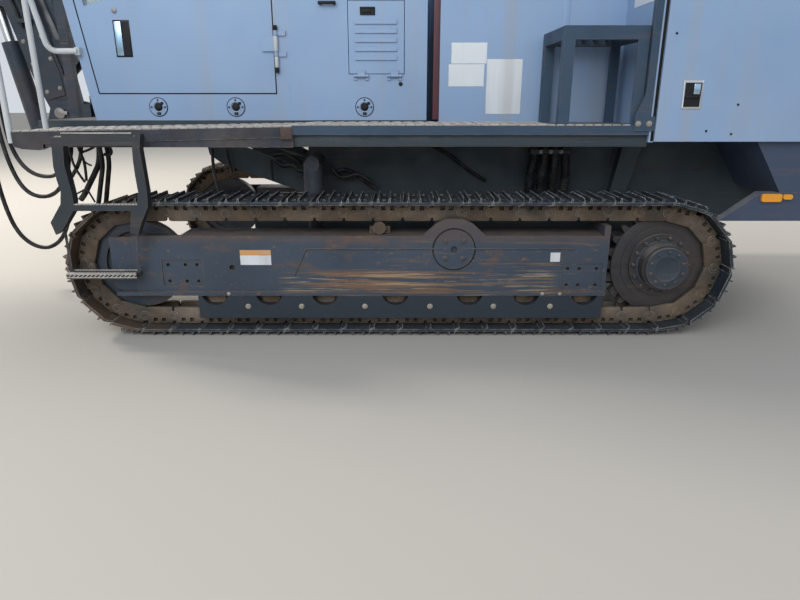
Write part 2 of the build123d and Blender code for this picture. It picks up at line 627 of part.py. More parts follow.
def door_hinges():
    """Pins and leaves of the cab door, on the shell."""
    solids = []
    for z in (1640, 2560):
        pin = round_z(DOOR_REAR + 18, CAB_LEFT - HINGE_OFF, 6, z - 30, z + 120)
        for z0 in (z - 30, z + 91):
            pin += round_z(DOOR_REAR + 18, CAB_LEFT - HINGE_OFF, KNUCKLE_R, z0, z0 + 29)
            pin += block(DOOR_REAR + 18, DOOR_REAR + 80, CAB_LEFT - 10, CAB_LEFT, z0, z0 + 29)
        solids.append(pin)
    return apart(solids)


def roof_front():
    """X of the roof's lower front edge; its top starts a roof's thickness behind it."""
    return cab_front_x(CAB_TOP) - ROOF_THICK


def cab_roof():
    x0 = roof_front()
    x1 = DOOR_REAR + 100
    top = CAB_TOP + ROOF_THICK
    return side_plate([(x0, CAB_TOP), (x1, CAB_TOP), (x1, top), (x0 + ROOF_THICK, top)], CAB_LEFT - 20, CAB_RIGHT + 20)


def cab_glass():
    """Panes a little inside the wall's faces: front, right and rear."""
    panes = []
    low, high = 1500, 2780
    inset = 16
    front = side_plate(
        [
            (cab_front_x(low) + inset, low), (cab_front_x(low) + inset + 8, low),
            (cab_front_x(high) + inset + 8, high), (cab_front_x(high) + inset, high),
        ],
        CAB_LEFT + 90, CAB_RIGHT - 90,
    )
    panes.append(front)
    right = [(cab_front_x(1750) + 120, 1750), (DOOR_REAR - 20, 1750), (DOOR_REAR - 20, 2760), (cab_front_x(2760) + 120, 2760)]
    panes.append(side_plate(right, CAB_RIGHT - 24, CAB_RIGHT - 16))
    panes.append(block(DOOR_REAR + 60, DOOR_REAR + 68, CAB_LEFT + 160, CAB_RIGHT - 160, 1950, 2760))
    return apart(panes)


def door_glass():
    window = [
        (cab_front_x(1900) + 120, 1900), (DOOR_REAR - 110, 2150), (DOOR_REAR - 110, DOOR_TOP - 80),
        (cab_front_x(DOOR_TOP - 80) + 120, DOOR_TOP - 80),
    ]
    return side_plate(window, CAB_LEFT + 16, CAB_LEFT + 24)


def cab_rear():
    """The bay behind the cab, flush with its side: a wall box with the vent opening."""
    x0, x1 = DOOR_REAR + 90, CAB_REAR
    box = block(x0, x1, CAB_LEFT, CAB_RIGHT, CAB_FLOOR, 2700)
    box -= block(x0 + 40, x1 - 40, CAB_LEFT + 40, CAB_RIGHT - 40, CAB_FLOOR + 40, 2660)
    box -= block(-320 - PANEL_GAP, 25 + PANEL_GAP, CAB_LEFT - 1, CAB_LEFT + 41, 1510 - PANEL_GAP, 1930 + PANEL_GAP)
    return box


def vent_door():
    """The small hatch with five pressed louvres, hinged along its lower edge."""
    door = block(-320, 25, CAB_LEFT, CAB_LEFT + 20, 1510, 1930)
    for index in range(5):
        z = 1590 + index * 52
        louvre = side_plate([(-280, z), (-20, z), (-20, z + 26), (-280, z + 26)], CAB_LEFT - 9, CAB_LEFT)
        door += louvre
    for x in (-270, -60):
        door += block(x, x + 50, CAB_LEFT - 12, CAB_LEFT, 1496, 1530)
        door += round_x(CAB_LEFT - 12, 1496, 10, x, x + 50)
        door -= round_x(CAB_LEFT - 12, 1496, 4 + PIN_GAP, x - 1, x + 51)
    return door


def vent_hinges():
    solids = []
    for x in (-270, -60):
        pin = round_x(CAB_LEFT - 12, 1496, 4, x - 20, x + 70)
        for x0 in (x - 20, x + 51):
            pin += round_x(CAB_LEFT - 12, 1496, 10, x0, x0 + 19)
            pin += block(x0, x0 + 19, CAB_LEFT - 8, CAB_LEFT, 1470, 1496)
        solids.append(pin)
    return apart(solids)


def seat():
    base = block(-1450, -1150, -200, 80, CAB_FLOOR + CAB_WALL, 1560)
    cushion = block(-1520, -1060, -300, 180, 1560, 1690)
    back = side_plate([(-1130, 1690), (-1000, 1690), (-880, 2330), (-980, 2330)], -290, 170)
    return joined([base, fillet(cushion.edges().filter_by(Axis.Z), 60), back])


def console():
    desk = side_plate([(-1900, CAB_FLOOR + CAB_WALL), (-1720, CAB_FLOOR + CAB_WALL), (-1680, 1860), (-1900, 1940)], 180, CAB_RIGHT - CAB_WALL)
    return desk


# Housings


def middle_housing():
    """The narrow housing between the cab and the engine bay."""
    box = block(MIDDLE_FRONT, HOUSING_FRONT, CAB_LEFT, 480, CHASSIS_TOP, MIDDLE_TOP)
    box -= block(MIDDLE_FRONT + 40, HOUSING_FRONT + 1, CAB_LEFT + 40, 440, CHASSIS_TOP + 40, MIDDLE_TOP - 40)
    return box


def rear_housing():
    """The engine bay's walls and top, with openings for its doors and its cooler."""
    half = DECK_OUT
    box = block(HOUSING_FRONT, HOUSING_REAR, -half, half, HOUSING_BOTTOM, HOUSING_TOP)
    box = fillet(box.edges().filter_by(Axis.X).sort_by(Axis.Z)[-2:], 60)
    w = HOUSING_WALL
    box -= block(HOUSING_FRONT + w, HOUSING_REAR - w, -half + w, half - w, HOUSING_BOTTOM + w, HOUSING_TOP - w)
    for side in (-1, 1):
        y0, y1 = mirrored(side, half - w - 1, half + 1)
        box -= block(ENGINE_DOOR_FRONT - PANEL_GAP, HOUSING_REAR - 90, y0, y1, HOUSING_BOTTOM - 1, ENGINE_DOOR_TOP + PANEL_GAP)
    box -= block(HOUSING_REAR - w - 1, HOUSING_REAR + 1, -COOLER_HALF, COOLER_HALF, COOLER_LOW, COOLER_HIGH)
    return box


def engine_door(side):
    """A flat side door of the engine bay with a recess for its latch, hinged at its rear edge."""
    x0, x1 = ENGINE_DOOR_FRONT, HOUSING_REAR - 90 - PANEL_GAP
    y0, y1 = mirrored(side, DECK_OUT - HOUSING_WALL, DECK_OUT)
    door = block(x0, x1, y0, y1, ENGINE_DOOR_BOTTOM, ENGINE_DOOR_TOP)
    l0, l1 = mirrored(side, DECK_OUT - 20, DECK_OUT + 1)
    door -= block(x0 + 130, x0 + 230, l0, l1, 1308, 1451)
    pin_y = side * (DECK_OUT + HINGE_OFF)
    for z in (1500, 2200):
        k0, k1 = mirrored(side, DECK_OUT, DECK_OUT + 12)
        door += block(x1 - 60, x1 + 20, k0, k1, z, z + 100)
        door += round_z(x1 + 20, pin_y, KNUCKLE_R, z, z + 100)
        door -= round_z(x1 + 20, pin_y, 6 + PIN_GAP, z - 1, z + 101)
    return door


def engine_door_hinges(side):
    x = HOUSING_REAR - 90 - PANEL_GAP + 20
    pin_y = side * (DECK_OUT + HINGE_OFF)
    solids = []
    for z in (1500, 2200):
        pin = round_z(x, pin_y, 6, z - 30, z + 130)
        for z0 in (z - 30, z + 101):
            k0, k1 = mirrored(side, DECK_OUT, DECK_OUT + 12)
            pin += round_z(x, pin_y, KNUCKLE_R, z0, z0 + 29)
            pin += block(x, x + 60, k0, k1, z0, z0 + 29)
        solids.append(pin)
    return apart(solids)


def cooler():
    """The cooler behind a grille of flat bars in the rear opening."""
    core = block(HOUSING_REAR - 170, HOUSING_REAR - 60, -COOLER_HALF, COOLER_HALF, COOLER_LOW, COOLER_HIGH)
    parts = [core]
    for index in range(12):
        z = COOLER_LOW + 30 + index * 96
        parts.append(block(HOUSING_REAR - 61, HOUSING_REAR - 8, -COOLER_HALF, COOLER_HALF, z, z + 22))
    foot = (-COOLER_HALF - 50, COOLER_HALF + 50, HOUSING_BOTTOM + HOUSING_WALL, COOLER_LOW + 40)
    parts.append(block(HOUSING_REAR - 200, HOUSING_REAR - 150, *foot))
    return joined(parts)


def work_lamps():
    """Square lamps with a set-in face: two before the cab roof's front edge, two on the rear housing's top."""
    brow, top = roof_front(), CAB_TOP + ROOF_THICK
    solids = []
    # columns: place of the lamp's foot, and which way it faces
    for x, y, z, way in (
        (brow + 10, -380, top, -1), (brow + 10, 260, top, -1),
        (HOUSING_REAR - 100, -900, HOUSING_TOP, 1), (HOUSING_REAR - 100, 900, HOUSING_TOP, 1),
    ):
        lamp = block(x - 35, x + 35, y - 65, y + 65, z + 30, z + 120)
        lamp = fillet(lamp.edges().filter_by(Axis.X), 14)
        face = x + way * 35
        lamp -= block(min(face, face - way * 10), max(face, face - way * 10), y - 54, y + 54, z + 41, z + 109)
        if way > 0:
            foot = block(x - 18, x + 18, y - 30, y + 30, z, z + 31)
        else:
            slant = [(brow, CAB_TOP), (brow + 50, top - 10), (brow + 50, top + 31), (brow - 20, top + 31), (brow - 20, CAB_TOP)]
            foot = side_plate(slant, y - 30, y + 30)
        solids.append(lamp + foot)
    return apart(solids)


def marker_lamps():
    """Two flat amber lamps on the face of the left lower beam, and the same on the right."""
    solids = []
    for side in (-1, 1):
        for x0, x1, z0, z1 in ((2108, 2225, 786, 832), (2233, 2287, 800, 829)):
            lamp = block(x0, x1, *mirrored(side, 1060, 1074), z0, z1)
            solids.append(fillet(lamp.edges().filter_by(Axis.Y), 12))
    return apart(solids)


def engine():
    block_body = block(1750, 2650, -330, 330, HOUSING_BOTTOM + HOUSING_WALL, 2050)
    return block_body


def exhaust():
    pipe = round_z(1800, 250, 70, HOUSING_TOP, HOUSING_TOP + 220)
    pipe += round_z(1800, 250, 95, HOUSING_TOP, HOUSING_TOP + 30)
    # air intake with its cap
    intake = round_z(2350, -250, 85, HOUSING_TOP, HOUSING_TOP + 110) + round_z(2350, -250, 140, HOUSING_TOP + 100, HOUSING_TOP + 170)
    return apart([pipe, intake])


def hydraulic_tank():
    tank = block(0, 1380, 520, 1080, CHASSIS_TOP, 2150)
    tank = fillet(tank.edges().filter_by(Axis.Z), 70)
    return tank + round_z(400, 800, 70, 2150, 2190)


def dust_collector():
    body = block(-1150, -250, 520, 1080, 1500, 2560)
    hopper = loft([Plane.XY.offset(1500) * Pos(-700, 800) * Rectangle(900, 560), Plane.XY.offset(1150) * Pos(-700, 800) * Rectangle(260, 220)])
    legs = []
    for x in (-1150, -310):
        legs.append(block(x, x + 60, 520, 580, CHASSIS_TOP, 1500))
        legs.append(block(x, x + 60, 1020, 1080, CHASSIS_TOP - 90, 1500))
        legs.append(block(x, x + 60, CHASSIS_HALF, 1080, CHASSIS_TOP - 90, CHASSIS_TOP))
    return joined([body, hopper] + legs)


# Boom


def swing_bracket():
    """Turns on the chassis post, and carries the boom's foot and the lift cylinder's foot."""
    hub_low, hub_high = POST_LOW + EAR_THICK + SEAT_GAP, POST_HIGH - SEAT_GAP
    hub = round_z(SWING_X, BOOM_Y, 88, hub_low, hub_high)
    parts = [hub]
    foot_x, foot_z = BOOM_FOOT
    low_x, low_z = LIFT[0]
    for y in (BOOM_Y - BOOM_HALF - 45, BOOM_Y + BOOM_HALF + 5):
        cheek = side_plate(
            [
                (SWING_X - 30, hub_low + 20), (SWING_X - 30, hub_high - 12), (SWING_X - 110, hub_high - 12), (foot_x + 60, 1340),
                (foot_x - 60, 1340), (foot_x - 110, 1200), (low_x - 80, low_z + 40), (low_x - 70, low_z - 56), (low_x + 60, low_z - 56),
            ],
            y, y + 40,
        )
        parts.append(cheek)
    parts.append(block(SWING_X - 130, SWING_X - 30, BOOM_Y - BOOM_HALF - 20, BOOM_Y + BOOM_HALF + 20, hub_low + 20, hub_high - 12))
    for z in (SWING_Z - 54 - SEAT_GAP - 20, SWING_Z + 54 + SEAT_GAP):
        arm = [(SWING_X + 40, BOOM_Y), (SWING_X - 110, BOOM_Y), (SWING_EYE[0] - 56, SWING_EYE[1] + 56), (SWING_EYE[0] + 44, SWING_EYE[1] + 56)]
        parts.append(flat_plate(arm, z, z + 20))
    bracket = joined(parts)
    bracket -= round_z(SWING_X, BOOM_Y, PIN_R + PIN_GAP, POST_LOW, POST_HIGH + EAR_THICK)
    bracket += round_y(foot_x, foot_z, PIN_R, BOOM_Y - BOOM_HALF - 60, BOOM_Y + BOOM_HALF + 60)
    bracket += round_y(low_x, low_z, 30, BOOM_Y - BOOM_HALF - 55, BOOM_Y + BOOM_HALF + 55)
    return bracket


def boom():
    """A box section that tapers to its head, with the ears for both cylinders."""
    top = BOOM_LENGTH
    outline = [
        on_boom(-90, -70), on_boom(-90, 70), on_boom(300, 120), on_boom(1000, 120), on_boom(top - 220, 80),
        on_boom(top - 220, -80), on_boom(1000, -120), on_boom(300, -120),
    ]
    body = side_plate(outline, BOOM_Y - BOOM_HALF, BOOM_Y + BOOM_HALF)
    for y in (BOOM_Y - BOOM_HALF, BOOM_Y + BOOM_HALF - 35):
        fork = side_plate(
            [
                on_boom(top - 260, -80), on_boom(top + 30, -78), on_boom(top + 72, -42),
                on_boom(top + 72, 42), on_boom(top + 30, 78), on_boom(top - 260, 80),
            ],
            y, y + 35,
        )
        body += fork
    lift_lug = [on_boom(820, 100), on_boom(940, 255), on_boom(1060, 255), on_boom(1180, 100)]
    tilt_lug = [on_boom(250, -100), on_boom(340, -265), on_boom(460, -265), on_boom(560, -100)]
    for y in (BOOM_Y - 104, BOOM_Y + 74):
        body += side_plate(lift_lug, y, y + 30)
    for y in (BOOM_Y - 86, BOOM_Y + 56):
        body += side_plate(tilt_lug, y, y + 30)
    body -= round_y(BOOM_FOOT[0], BOOM_FOOT[1], PIN_R + PIN_GAP, BOOM_Y - 200, BOOM_Y + 200)
    body += round_y(TILT[0][0], TILT[0][1], 28, BOOM_Y - 95, BOOM_Y + 95)
    body += round_y(HEAD[0], HEAD[1], PIN_R, BOOM_Y - BOOM_HALF - 20, BOOM_Y + BOOM_HALF + 20)
    return body


def boom_head():
    """Turns on the boom's end, with the tilt cylinder's arm and the spindle that the cradle swings on."""
    half = BOOM_HALF - 35 - 6
    hub = round_y(HEAD[0], HEAD[1], 85, BOOM_Y - half, BOOM_Y + half)
    parts = [hub, block(HEAD[0] - 85, HEAD[0] + 85, BOOM_Y - half, BOOM_Y + half, HEAD[1], HEAD[1] + 120)]
    parts.append(round_z(HEAD[0], BOOM_Y, 170, HEAD[1] + 95, HEAD[1] + 120))
    eye_x, eye_z = TILT[1]
    for y in (BOOM_Y - half, BOOM_Y + half - 24):
        parts.append(side_plate([(HEAD[0] - 40, HEAD[1] - 80), (HEAD[0] + 60, HEAD[1] + 80), (eye_x + 60, eye_z + 30), (eye_x + 30, eye_z - 50)], y, y + 24))
    head = joined(parts)
    head -= round_y(HEAD[0], HEAD[1], PIN_R + PIN_GAP, BOOM_Y - 200, BOOM_Y + 200)
    return head + round_z(HEAD[0], BOOM_Y, 60, HEAD[1] + 119, HEAD[1] + 150)


def feed_cradle():
    """The saddle that swings on the head and holds the feed beam's lower flanges."""
    x0, x1 = HEAD[0] - 700, HEAD[0] + 700
    floor_low = HEAD[1] + 120 + SEAT_GAP
    floor_top = FEED_BACK - SLIDE_GAP
    saddle = block(x0, x1, BOOM_Y - 205, BOOM_Y + 205, floor_low, floor_top)
    for side in (-1, 1):
        near = BOOM_Y + side * (FLANGE_HALF + SLIDE_GAP)
        far = BOOM_Y + side * 205
        saddle += block(x0, x1, min(near, far), max(near, far), floor_top, FEED_BACK + FLANGE_THICK + SLIDE_GAP + 20)
        lip = BOOM_Y + side * (WEB_HALF + 5)
        saddle += block(x0, x1, min(lip, far), max(lip, far), FEED_BACK + FLANGE_THICK + SLIDE_GAP, FEED_BACK + FLANGE_THICK + SLIDE_GAP + 20)
    return saddle - round_z(HEAD[0], BOOM_Y, 60 + PIN_GAP, floor_low - 1, floor_low + 31)


def feed_beam():
    """A long box with flanges at its back and its face, an end plate at the foot and a chain wheel cover."""
    web = block(FEED_FRONT, FEED_REAR, BOOM_Y - WEB_HALF, BOOM_Y + WEB_HALF, FEED_BACK, FEED_FACE)
    web -= block(FEED_FRONT + 60, FEED_REAR - 60, BOOM_Y - WEB_HALF + 12, BOOM_Y + WEB_HALF - 12, FEED_BACK + 14, FEED_FACE - 14)
    parts = [web]
    for z in (FEED_BACK, FEED_FACE - FLANGE_THICK):
        parts.append(block(FEED_FRONT, FEED_REAR, BOOM_Y - FLANGE_HALF, BOOM_Y + FLANGE_HALF, z, z + FLANGE_THICK) - block(FEED_FRONT + 60, FEED_REAR - 60, BOOM_Y - WEB_HALF + 12, BOOM_Y + WEB_HALF - 12, FEED_BACK - 1, FEED_FACE + 1))
    # foot plate with its spike, and the plate at the far end
    parts.append(block(FEED_FRONT - 40, FEED_FRONT, BOOM_Y - 200, BOOM_Y + 200, FEED_BACK - 40, FEED_FACE))
    parts.append(block(FEED_REAR, FEED_REAR + 30, BOOM_Y - 170, BOOM_Y + 170, FEED_BACK, FEED_FACE + 60))
    # chain wheel cover and motor at the far end, and the tray for the head's hoses along the left side
    parts.append(block(FEED_REAR - 200, FEED_REAR, BOOM_Y - 70, BOOM_Y + 70, FEED_FACE - 10, FEED_FACE + 80))
    parts.append(round_y(FEED_REAR - 110, FEED_BACK + 120, 70, BOOM_Y - WEB_HALF - 150, BOOM_Y - WEB_HALF + 5))
    tray = FEED_BACK + 84
    parts.append(block(FEED_FRONT + 900, FEED_REAR - 300, BOOM_Y - WEB_HALF - 96, BOOM_Y - WEB_HALF + 4, tray, tray + 8))
    parts.append(block(FEED_FRONT + 900, FEED_REAR - 300, BOOM_Y - WEB_HALF - 96, BOOM_Y - WEB_HALF - 88, tray, tray + 60))
    beam = joined(parts)
    axis_y, axis_z = BOOM_Y + CAROUSEL_Y, FEED_BACK + CAROUSEL_Z
    for x in (FEED_FRONT + 1000, FEED_FRONT + 1000 + ROD_LENGTH + 160):
        arm = cross_plate(
            [
                (BOOM_Y + WEB_HALF, FEED_BACK + 60), (BOOM_Y + 220, FEED_BACK + 70), (axis_y + 40, axis_z - 50), (axis_y + 40, axis_z + 50),
                (axis_y - 60, axis_z + 60), (BOOM_Y + 215, FEED_BACK + 150), (BOOM_Y + WEB_HALF, FEED_BACK + 190),
            ],
            x - 40, x - 10,
        )
        beam += arm - round_x(axis_y, axis_z, CAROUSEL_SHAFT_R + PIN_GAP, x - 41, x - 9)
    return beam


def carousel():
    """A core tube with two end discs and the drill rods that it stores."""
    axis_y, axis_z = BOOM_Y + CAROUSEL_Y, FEED_BACK + CAROUSEL_Z
    start = FEED_FRONT + 1000
    core = round_x(axis_y, axis_z, 45, start - 5, start + ROD_LENGTH + 115)
    parts = [core, round_x(axis_y, axis_z, CAROUSEL_SHAFT_R, start - 50, start + ROD_LENGTH + 160)]
    for x in (start + 60, start + ROD_LENGTH + 20):
        parts.append(round_x(axis_y, axis_z, CAROUSEL_R + 38, x, x + 20))
    rods = []
    for index in range(6):
        turn = math.radians(index * 60 + 30)
        y = axis_y + CAROUSEL_R * math.cos(turn)
        z = axis_z + CAROUSEL_R * math.sin(turn)
        rods.append(round_x(y, z, ROD_R, start + 30, start + ROD_LENGTH + 70))
    return joined(parts + rods)


def drill_head():
    """The carriage on the feed's face flanges, with the rock drill on it."""
    x0 = FEED_REAR - 1350
    x1 = x0 + 1050
    plate_low = FEED_FACE + SLIDE_GAP
    plate = block(x0, x1, BOOM_Y - 205, BOOM_Y + 205, plate_low, plate_low + 40)
    parts = [plate]
    for side in (-1, 1):
        near = BOOM_Y + side * (FLANGE_HALF + SLIDE_GAP)
        far = BOOM_Y + side * 205
        low = FEED_FACE - FLANGE_THICK - SLIDE_GAP - 20
        parts.append(block(x0, x1, min(near, far), max(near, far), low, plate_low + 10))
        lip = BOOM_Y + side * (WEB_HALF + 5)
        parts.append(block(x0, x1, min(lip, far), max(lip, far), low, low + 20))
    axis = FEED_FACE + DRILL_AXIS
    parts.append(block(x0 + 60, x1 - 80, BOOM_Y - 120, BOOM_Y + 120, plate_low + 40, axis + 120))
    parts.append(round_x(BOOM_Y, axis, 95, x0 - 120, x0 + 60))
    parts.append(round_z(x0 + 330, BOOM_Y, 60, axis + 120, axis + 210))
    parts.append(round_z(x0 + 700, BOOM_Y, 60, axis + 120, axis + 210))
    parts.append(round_x(BOOM_Y - 60, axis + 60, 55, x1 - 80, x1 + 60))
    head = joined(parts)
    return head - round_x(BOOM_Y, axis, ROD_R + PIN_GAP, x0 - 121, x0 + 40)


def drill_shank():
    axis = FEED_FACE + DRILL_AXIS
    x0 = FEED_REAR - 1350
    shank = round_x(BOOM_Y, axis, ROD_R, x0 - 300, x0 + 30)
    return shank + round_x(BOOM_Y, axis, ROD_R + 16, x0 - 420, x0 - 240)


def drill_guide():
    """The steady at the feed's foot, with the hole that the rods run through."""
    axis = FEED_FACE + DRILL_AXIS
    x0 = FEED_FRONT + 260
    body = block(x0, x0 + 120, BOOM_Y - 150, BOOM_Y + 150, FEED_FACE + SEAT_GAP, axis + 110)
    return body - round_x(BOOM_Y, axis, 62, x0 - 1, x0 + 121)


def dust_hood():
    """The open hood that comes down round the hole's mouth."""
    axis = FEED_FACE + DRILL_AXIS
    x0 = FEED_FRONT + 20
    hood = round_x(BOOM_Y, axis, 190, x0, x0 + 200) - round_x(BOOM_Y, axis, 175, x0 - 1, x0 + 185)
    hood -= round_x(BOOM_Y, axis, 62, x0 - 1, x0 + 201)
    hood &= block(x0 - 1, x0 + 201, BOOM_Y - 200, BOOM_Y + 200, FEED_FACE + 2, axis + 200)
    foot = block(x0 + 10, x0 + 190, BOOM_Y - 120, BOOM_Y + 120, FEED_FACE + SEAT_GAP, FEED_FACE + 30)
    return joined([hood, foot])


# Cylinders


def cylinder_pair(foot, eye, pin_axis, mouth, bore_end, rod_length, barrel_r, rod_r, foot_half, eye_half):
    """A barrel from its foot pin and a rod to its eye: bore_end and mouth are measured from the foot."""
    way = Vector(*eye) - Vector(*foot)
    plane = Plane(origin=foot, z_dir=way)
    start = (Align.CENTER, Align.CENTER, Align.MIN)
    turn = {"Y": Rot(90, 0, 0), "Z": Rot(0, 0, 0)}[pin_axis]
    barrel = plane * (Pos(0, 0, 40) * Cylinder(barrel_r, mouth - 40, align=start))
    barrel += Pos(*foot) * turn * Cylinder(56, 2 * foot_half)
    barrel -= plane * (Pos(0, 0, bore_end) * Cylinder(rod_r + SEAT_GAP, mouth, align=start))
    rod = plane * (Pos(0, 0, way.length - rod_length) * Cylinder(rod_r, rod_length, align=start))
    rod += Pos(*eye) * turn * Cylinder(50, 2 * eye_half)
    return barrel, rod


def lift_pair():
    foot = (LIFT[0][0], BOOM_Y, LIFT[0][1])
    eye = (LIFT[1][0], BOOM_Y, LIFT[1][1])
    barrel, rod = cylinder_pair(foot, eye, "Y", 750, 340, 480, 68, 38, 114, 71)
    barrel -= round_y(foot[0], foot[2], 30 + PIN_GAP, BOOM_Y - 120, BOOM_Y + 120)
    return barrel, rod


def tilt_pair():
    foot = (TILT[0][0], BOOM_Y, TILT[0][1])
    eye = (TILT[1][0], BOOM_Y, TILT[1][1])
    barrel, rod = cylinder_pair(foot, eye, "Y", 960, 500, 640, 50, 30, 55.7, 44)
    barrel -= round_y(foot[0], foot[2], 28 + PIN_GAP, BOOM_Y - 60, BOOM_Y + 60)
    return barrel, rod


def swing_pair():
    foot = (SWING_FOOT[0], SWING_FOOT[1], SWING_Z)
    eye = (SWING_EYE[0], SWING_EYE[1], SWING_Z)
    barrel, rod = cylinder_pair(foot, eye, "Z", 520, 200, 420, 46, 28, 54, 54)
    return barrel, rod


def swing_pin():
    return round_z(SWING_FOOT[0], SWING_FOOT[1], 24, SWING_Z - 80, SWING_Z + 80)


def hose_post():
    """The upright on the chassis front that the free hoses hang from, with its fitting block."""
    parts = [block(-2400, -2340, 30, 90, PLATFORM_NEAR, 2900), block(-2900, -2340, 30, 90, 2840, 2900)]
    parts.append(block(-2965, -2855, -150, 90, 2820, 2920))
    parts.append(block(-2440, -2340, -180, 40, 1080, 1130))
    return joined(parts)


HOSES = {
    "hose_long": [
        (-2935, -120, 2820), (-2935, -120, 2640), (-2922, -116, 2330), (-2946, -120, 1900), (-2934, -115, 1470),
        (-2950, -112, 1040), (-2930, -118, 640), (-2850, -125, 370), (-2670, -132, 270), (-2500, -140, 370),
        (-2410, -148, 640), (-2400, -150, 860), (-2400, -150, 1080),
    ],
    "hose_middle": [
        (-2900, -60, 2820), (-2900, -60, 2640), (-2888, -58, 2330), (-2908, -62, 1900), (-2896, -66, 1480),
        (-2885, -72, 1050), (-2820, -78, 780), (-2720, -84, 670), (-2570, -88, 670), (-2460, -90, 780),
        (-2400, -90, 920), (-2400, -90, 1080),
    ],
    "hose_short": [
        (-2880, 0, 2820), (-2880, 0, 2640), (-2868, 2, 2330), (-2886, -1, 1900), (-2872, -6, 1480),
        (-2880, -12, 1180), (-2840, -18, 960), (-2740, -26, 830), (-2590, -32, 800), (-2470, -36, 870),
        (-2400, -36, 980), (-2400, -36, 1080),
    ],
}
HOSE_R = 15


def hose(points):
    """A round hose along straight runs with an arc at each point, as large as its two runs allow."""
    radii = []
    for before, at, after in zip(points, points[1:], points[2:]):
        first, second = Vector(*at) - Vector(*before), Vector(*after) - Vector(*at)
        turn = math.radians(first.get_angle(second))
        radii.append(0.45 * min(first.length, second.length) / math.tan(turn / 2))
    print("hose arcs", [round(radius) for radius in radii])
    path = FilletPolyline(*points, radius=radii)
    print("hose length", round(path.length))
    return sweep(Plane(path @ 0, z_dir=path % 0) * Circle(HOSE_R), path)


# One node each: its name and its shape


def nodes():
    lift_barrel, lift_rod = lift_pair()
    tilt_barrel, tilt_rod = tilt_pair()
    swing_barrel, swing_rod = swing_pair()
    swing_barrel -= round_z(SWING_FOOT[0], SWING_FOOT[1], 24 + PIN_GAP, SWING_Z - 60, SWING_Z + 60)
    cab_rail, deck_rail = handrails()
    made = {
        "chassis": chassis() + swing_pin(),
        "pivot_axle": pivot_axle(),
        "oscillation_cylinders": oscillation_cylinders(),
        "lower_tank": lower_tank(),
        "walkway": walkway(),
        "front_grating": front_grating(),
        "ladder": ladder(),
        "lower_step": lower_step(),
        "step_box": step_box(),
        "handrails": apart([cab_rail, deck_rail]),
        "cab_shell": joined([cab_shell(), door_hinges()]),
        "cab_roof": cab_roof(),
        "cab_door": cab_door(),
        "cab_glass": cab_glass(),
        "door_glass": door_glass(),
        "cab_rear": joined([cab_rear(), vent_hinges()]),
        "vent_door": vent_door(),
        "seat": seat(),
        "console": console(),
        "middle_housing": middle_housing(),
        "rear_housing": joined([rear_housing(), engine_door_hinges(-1), engine_door_hinges(1)]),
        "cooler": cooler(),
        "engine": engine(),
        "exhaust": exhaust(),
        "work_lamps": work_lamps(),
        "marker_lamps": marker_lamps(),
        "hydraulic_tank": hydraulic_tank(),
        "dust_collector": dust_collector(),
        "swing_bracket": swing_bracket(),
        "boom": boom(),
        "boom_head": boom_head(),
        "feed_cradle": feed_cradle(),
        "feed_beam": feed_beam(),
        "carousel": carousel(),
        "drill_head": drill_head(),
        "drill_shank": drill_shank(),
        "drill_guide": drill_guide(),
        "dust_hood": dust_hood(),
        "lift_barrel": lift_barrel,
        "lift_rod": lift_rod,
        "tilt_barrel": tilt_barrel,
        "tilt_rod": tilt_rod,
        "swing_barrel": swing_barrel,
        "swing_rod": swing_rod,
        "hose_post": hose_post(),
    }
    for name, side in (("left", -1), ("right", 1)):
        made["track_" + name] = track(side)
        made["track_frame_" + name] = track_frame(side)
        made["sprocket_" + name] = joined([sprocket(side), final_drive(side)])
        made["idler_" + name] = idler(side)
        made["rollers_" + name] = rollers(side)
        made["engine_door_" + name] = engine_door(side)
    for name, points in HOSES.items():
        made[name] = hose(points)
    return made


os.makedirs("parts", exist_ok=True)
for node, shape in nodes().items():
    export_step(Pos(-BOX_MIDDLE, 0, 0) * shape, "parts/" + node + ".step")
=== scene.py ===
import json
import math

import bmesh
import bpy
from mathutils import Matrix, Vector


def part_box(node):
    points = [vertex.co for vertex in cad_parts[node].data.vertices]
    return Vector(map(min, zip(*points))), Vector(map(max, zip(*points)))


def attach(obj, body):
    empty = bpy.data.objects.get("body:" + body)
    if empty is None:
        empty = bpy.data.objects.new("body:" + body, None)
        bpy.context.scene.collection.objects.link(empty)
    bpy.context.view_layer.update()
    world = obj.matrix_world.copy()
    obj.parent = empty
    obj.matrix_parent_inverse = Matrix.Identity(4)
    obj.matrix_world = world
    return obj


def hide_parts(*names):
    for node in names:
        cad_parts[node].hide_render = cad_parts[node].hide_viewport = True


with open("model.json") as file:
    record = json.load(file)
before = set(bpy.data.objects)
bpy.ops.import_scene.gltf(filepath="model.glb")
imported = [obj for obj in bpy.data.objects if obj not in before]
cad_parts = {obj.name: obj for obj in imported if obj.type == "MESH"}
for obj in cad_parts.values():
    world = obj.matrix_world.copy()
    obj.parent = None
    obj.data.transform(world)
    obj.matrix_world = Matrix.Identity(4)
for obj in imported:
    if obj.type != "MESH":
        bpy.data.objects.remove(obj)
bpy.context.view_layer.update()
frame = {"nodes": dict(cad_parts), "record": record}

# Places below are counted from the middle of the tracks, in metres, and moved by this to the part's frame.
TRACK_MIDDLE = 1.25276
# X of the part's own origin counted that way: a pattern is made there, then copied to its places
ORIGIN_X = -TRACK_MIDDLE

# The ways that a face or a bolt's head looks
WAYS = {
    "-X": Vector((-1, 0, 0)), "X": Vector((1, 0, 0)), "-Y": Vector((0, -1, 0)), "Y": Vector((0, 1, 0)),
    "Z": Vector((0, 0, 1)),
}
# columns: sign of Y, name, and the way that the outer faces look
SIDES = ((-1, "left", "-Y"), (1, "right", "Y"))


def at(x, y, z):
    return Vector((x + TRACK_MIDDLE, y, z))


# Finishes


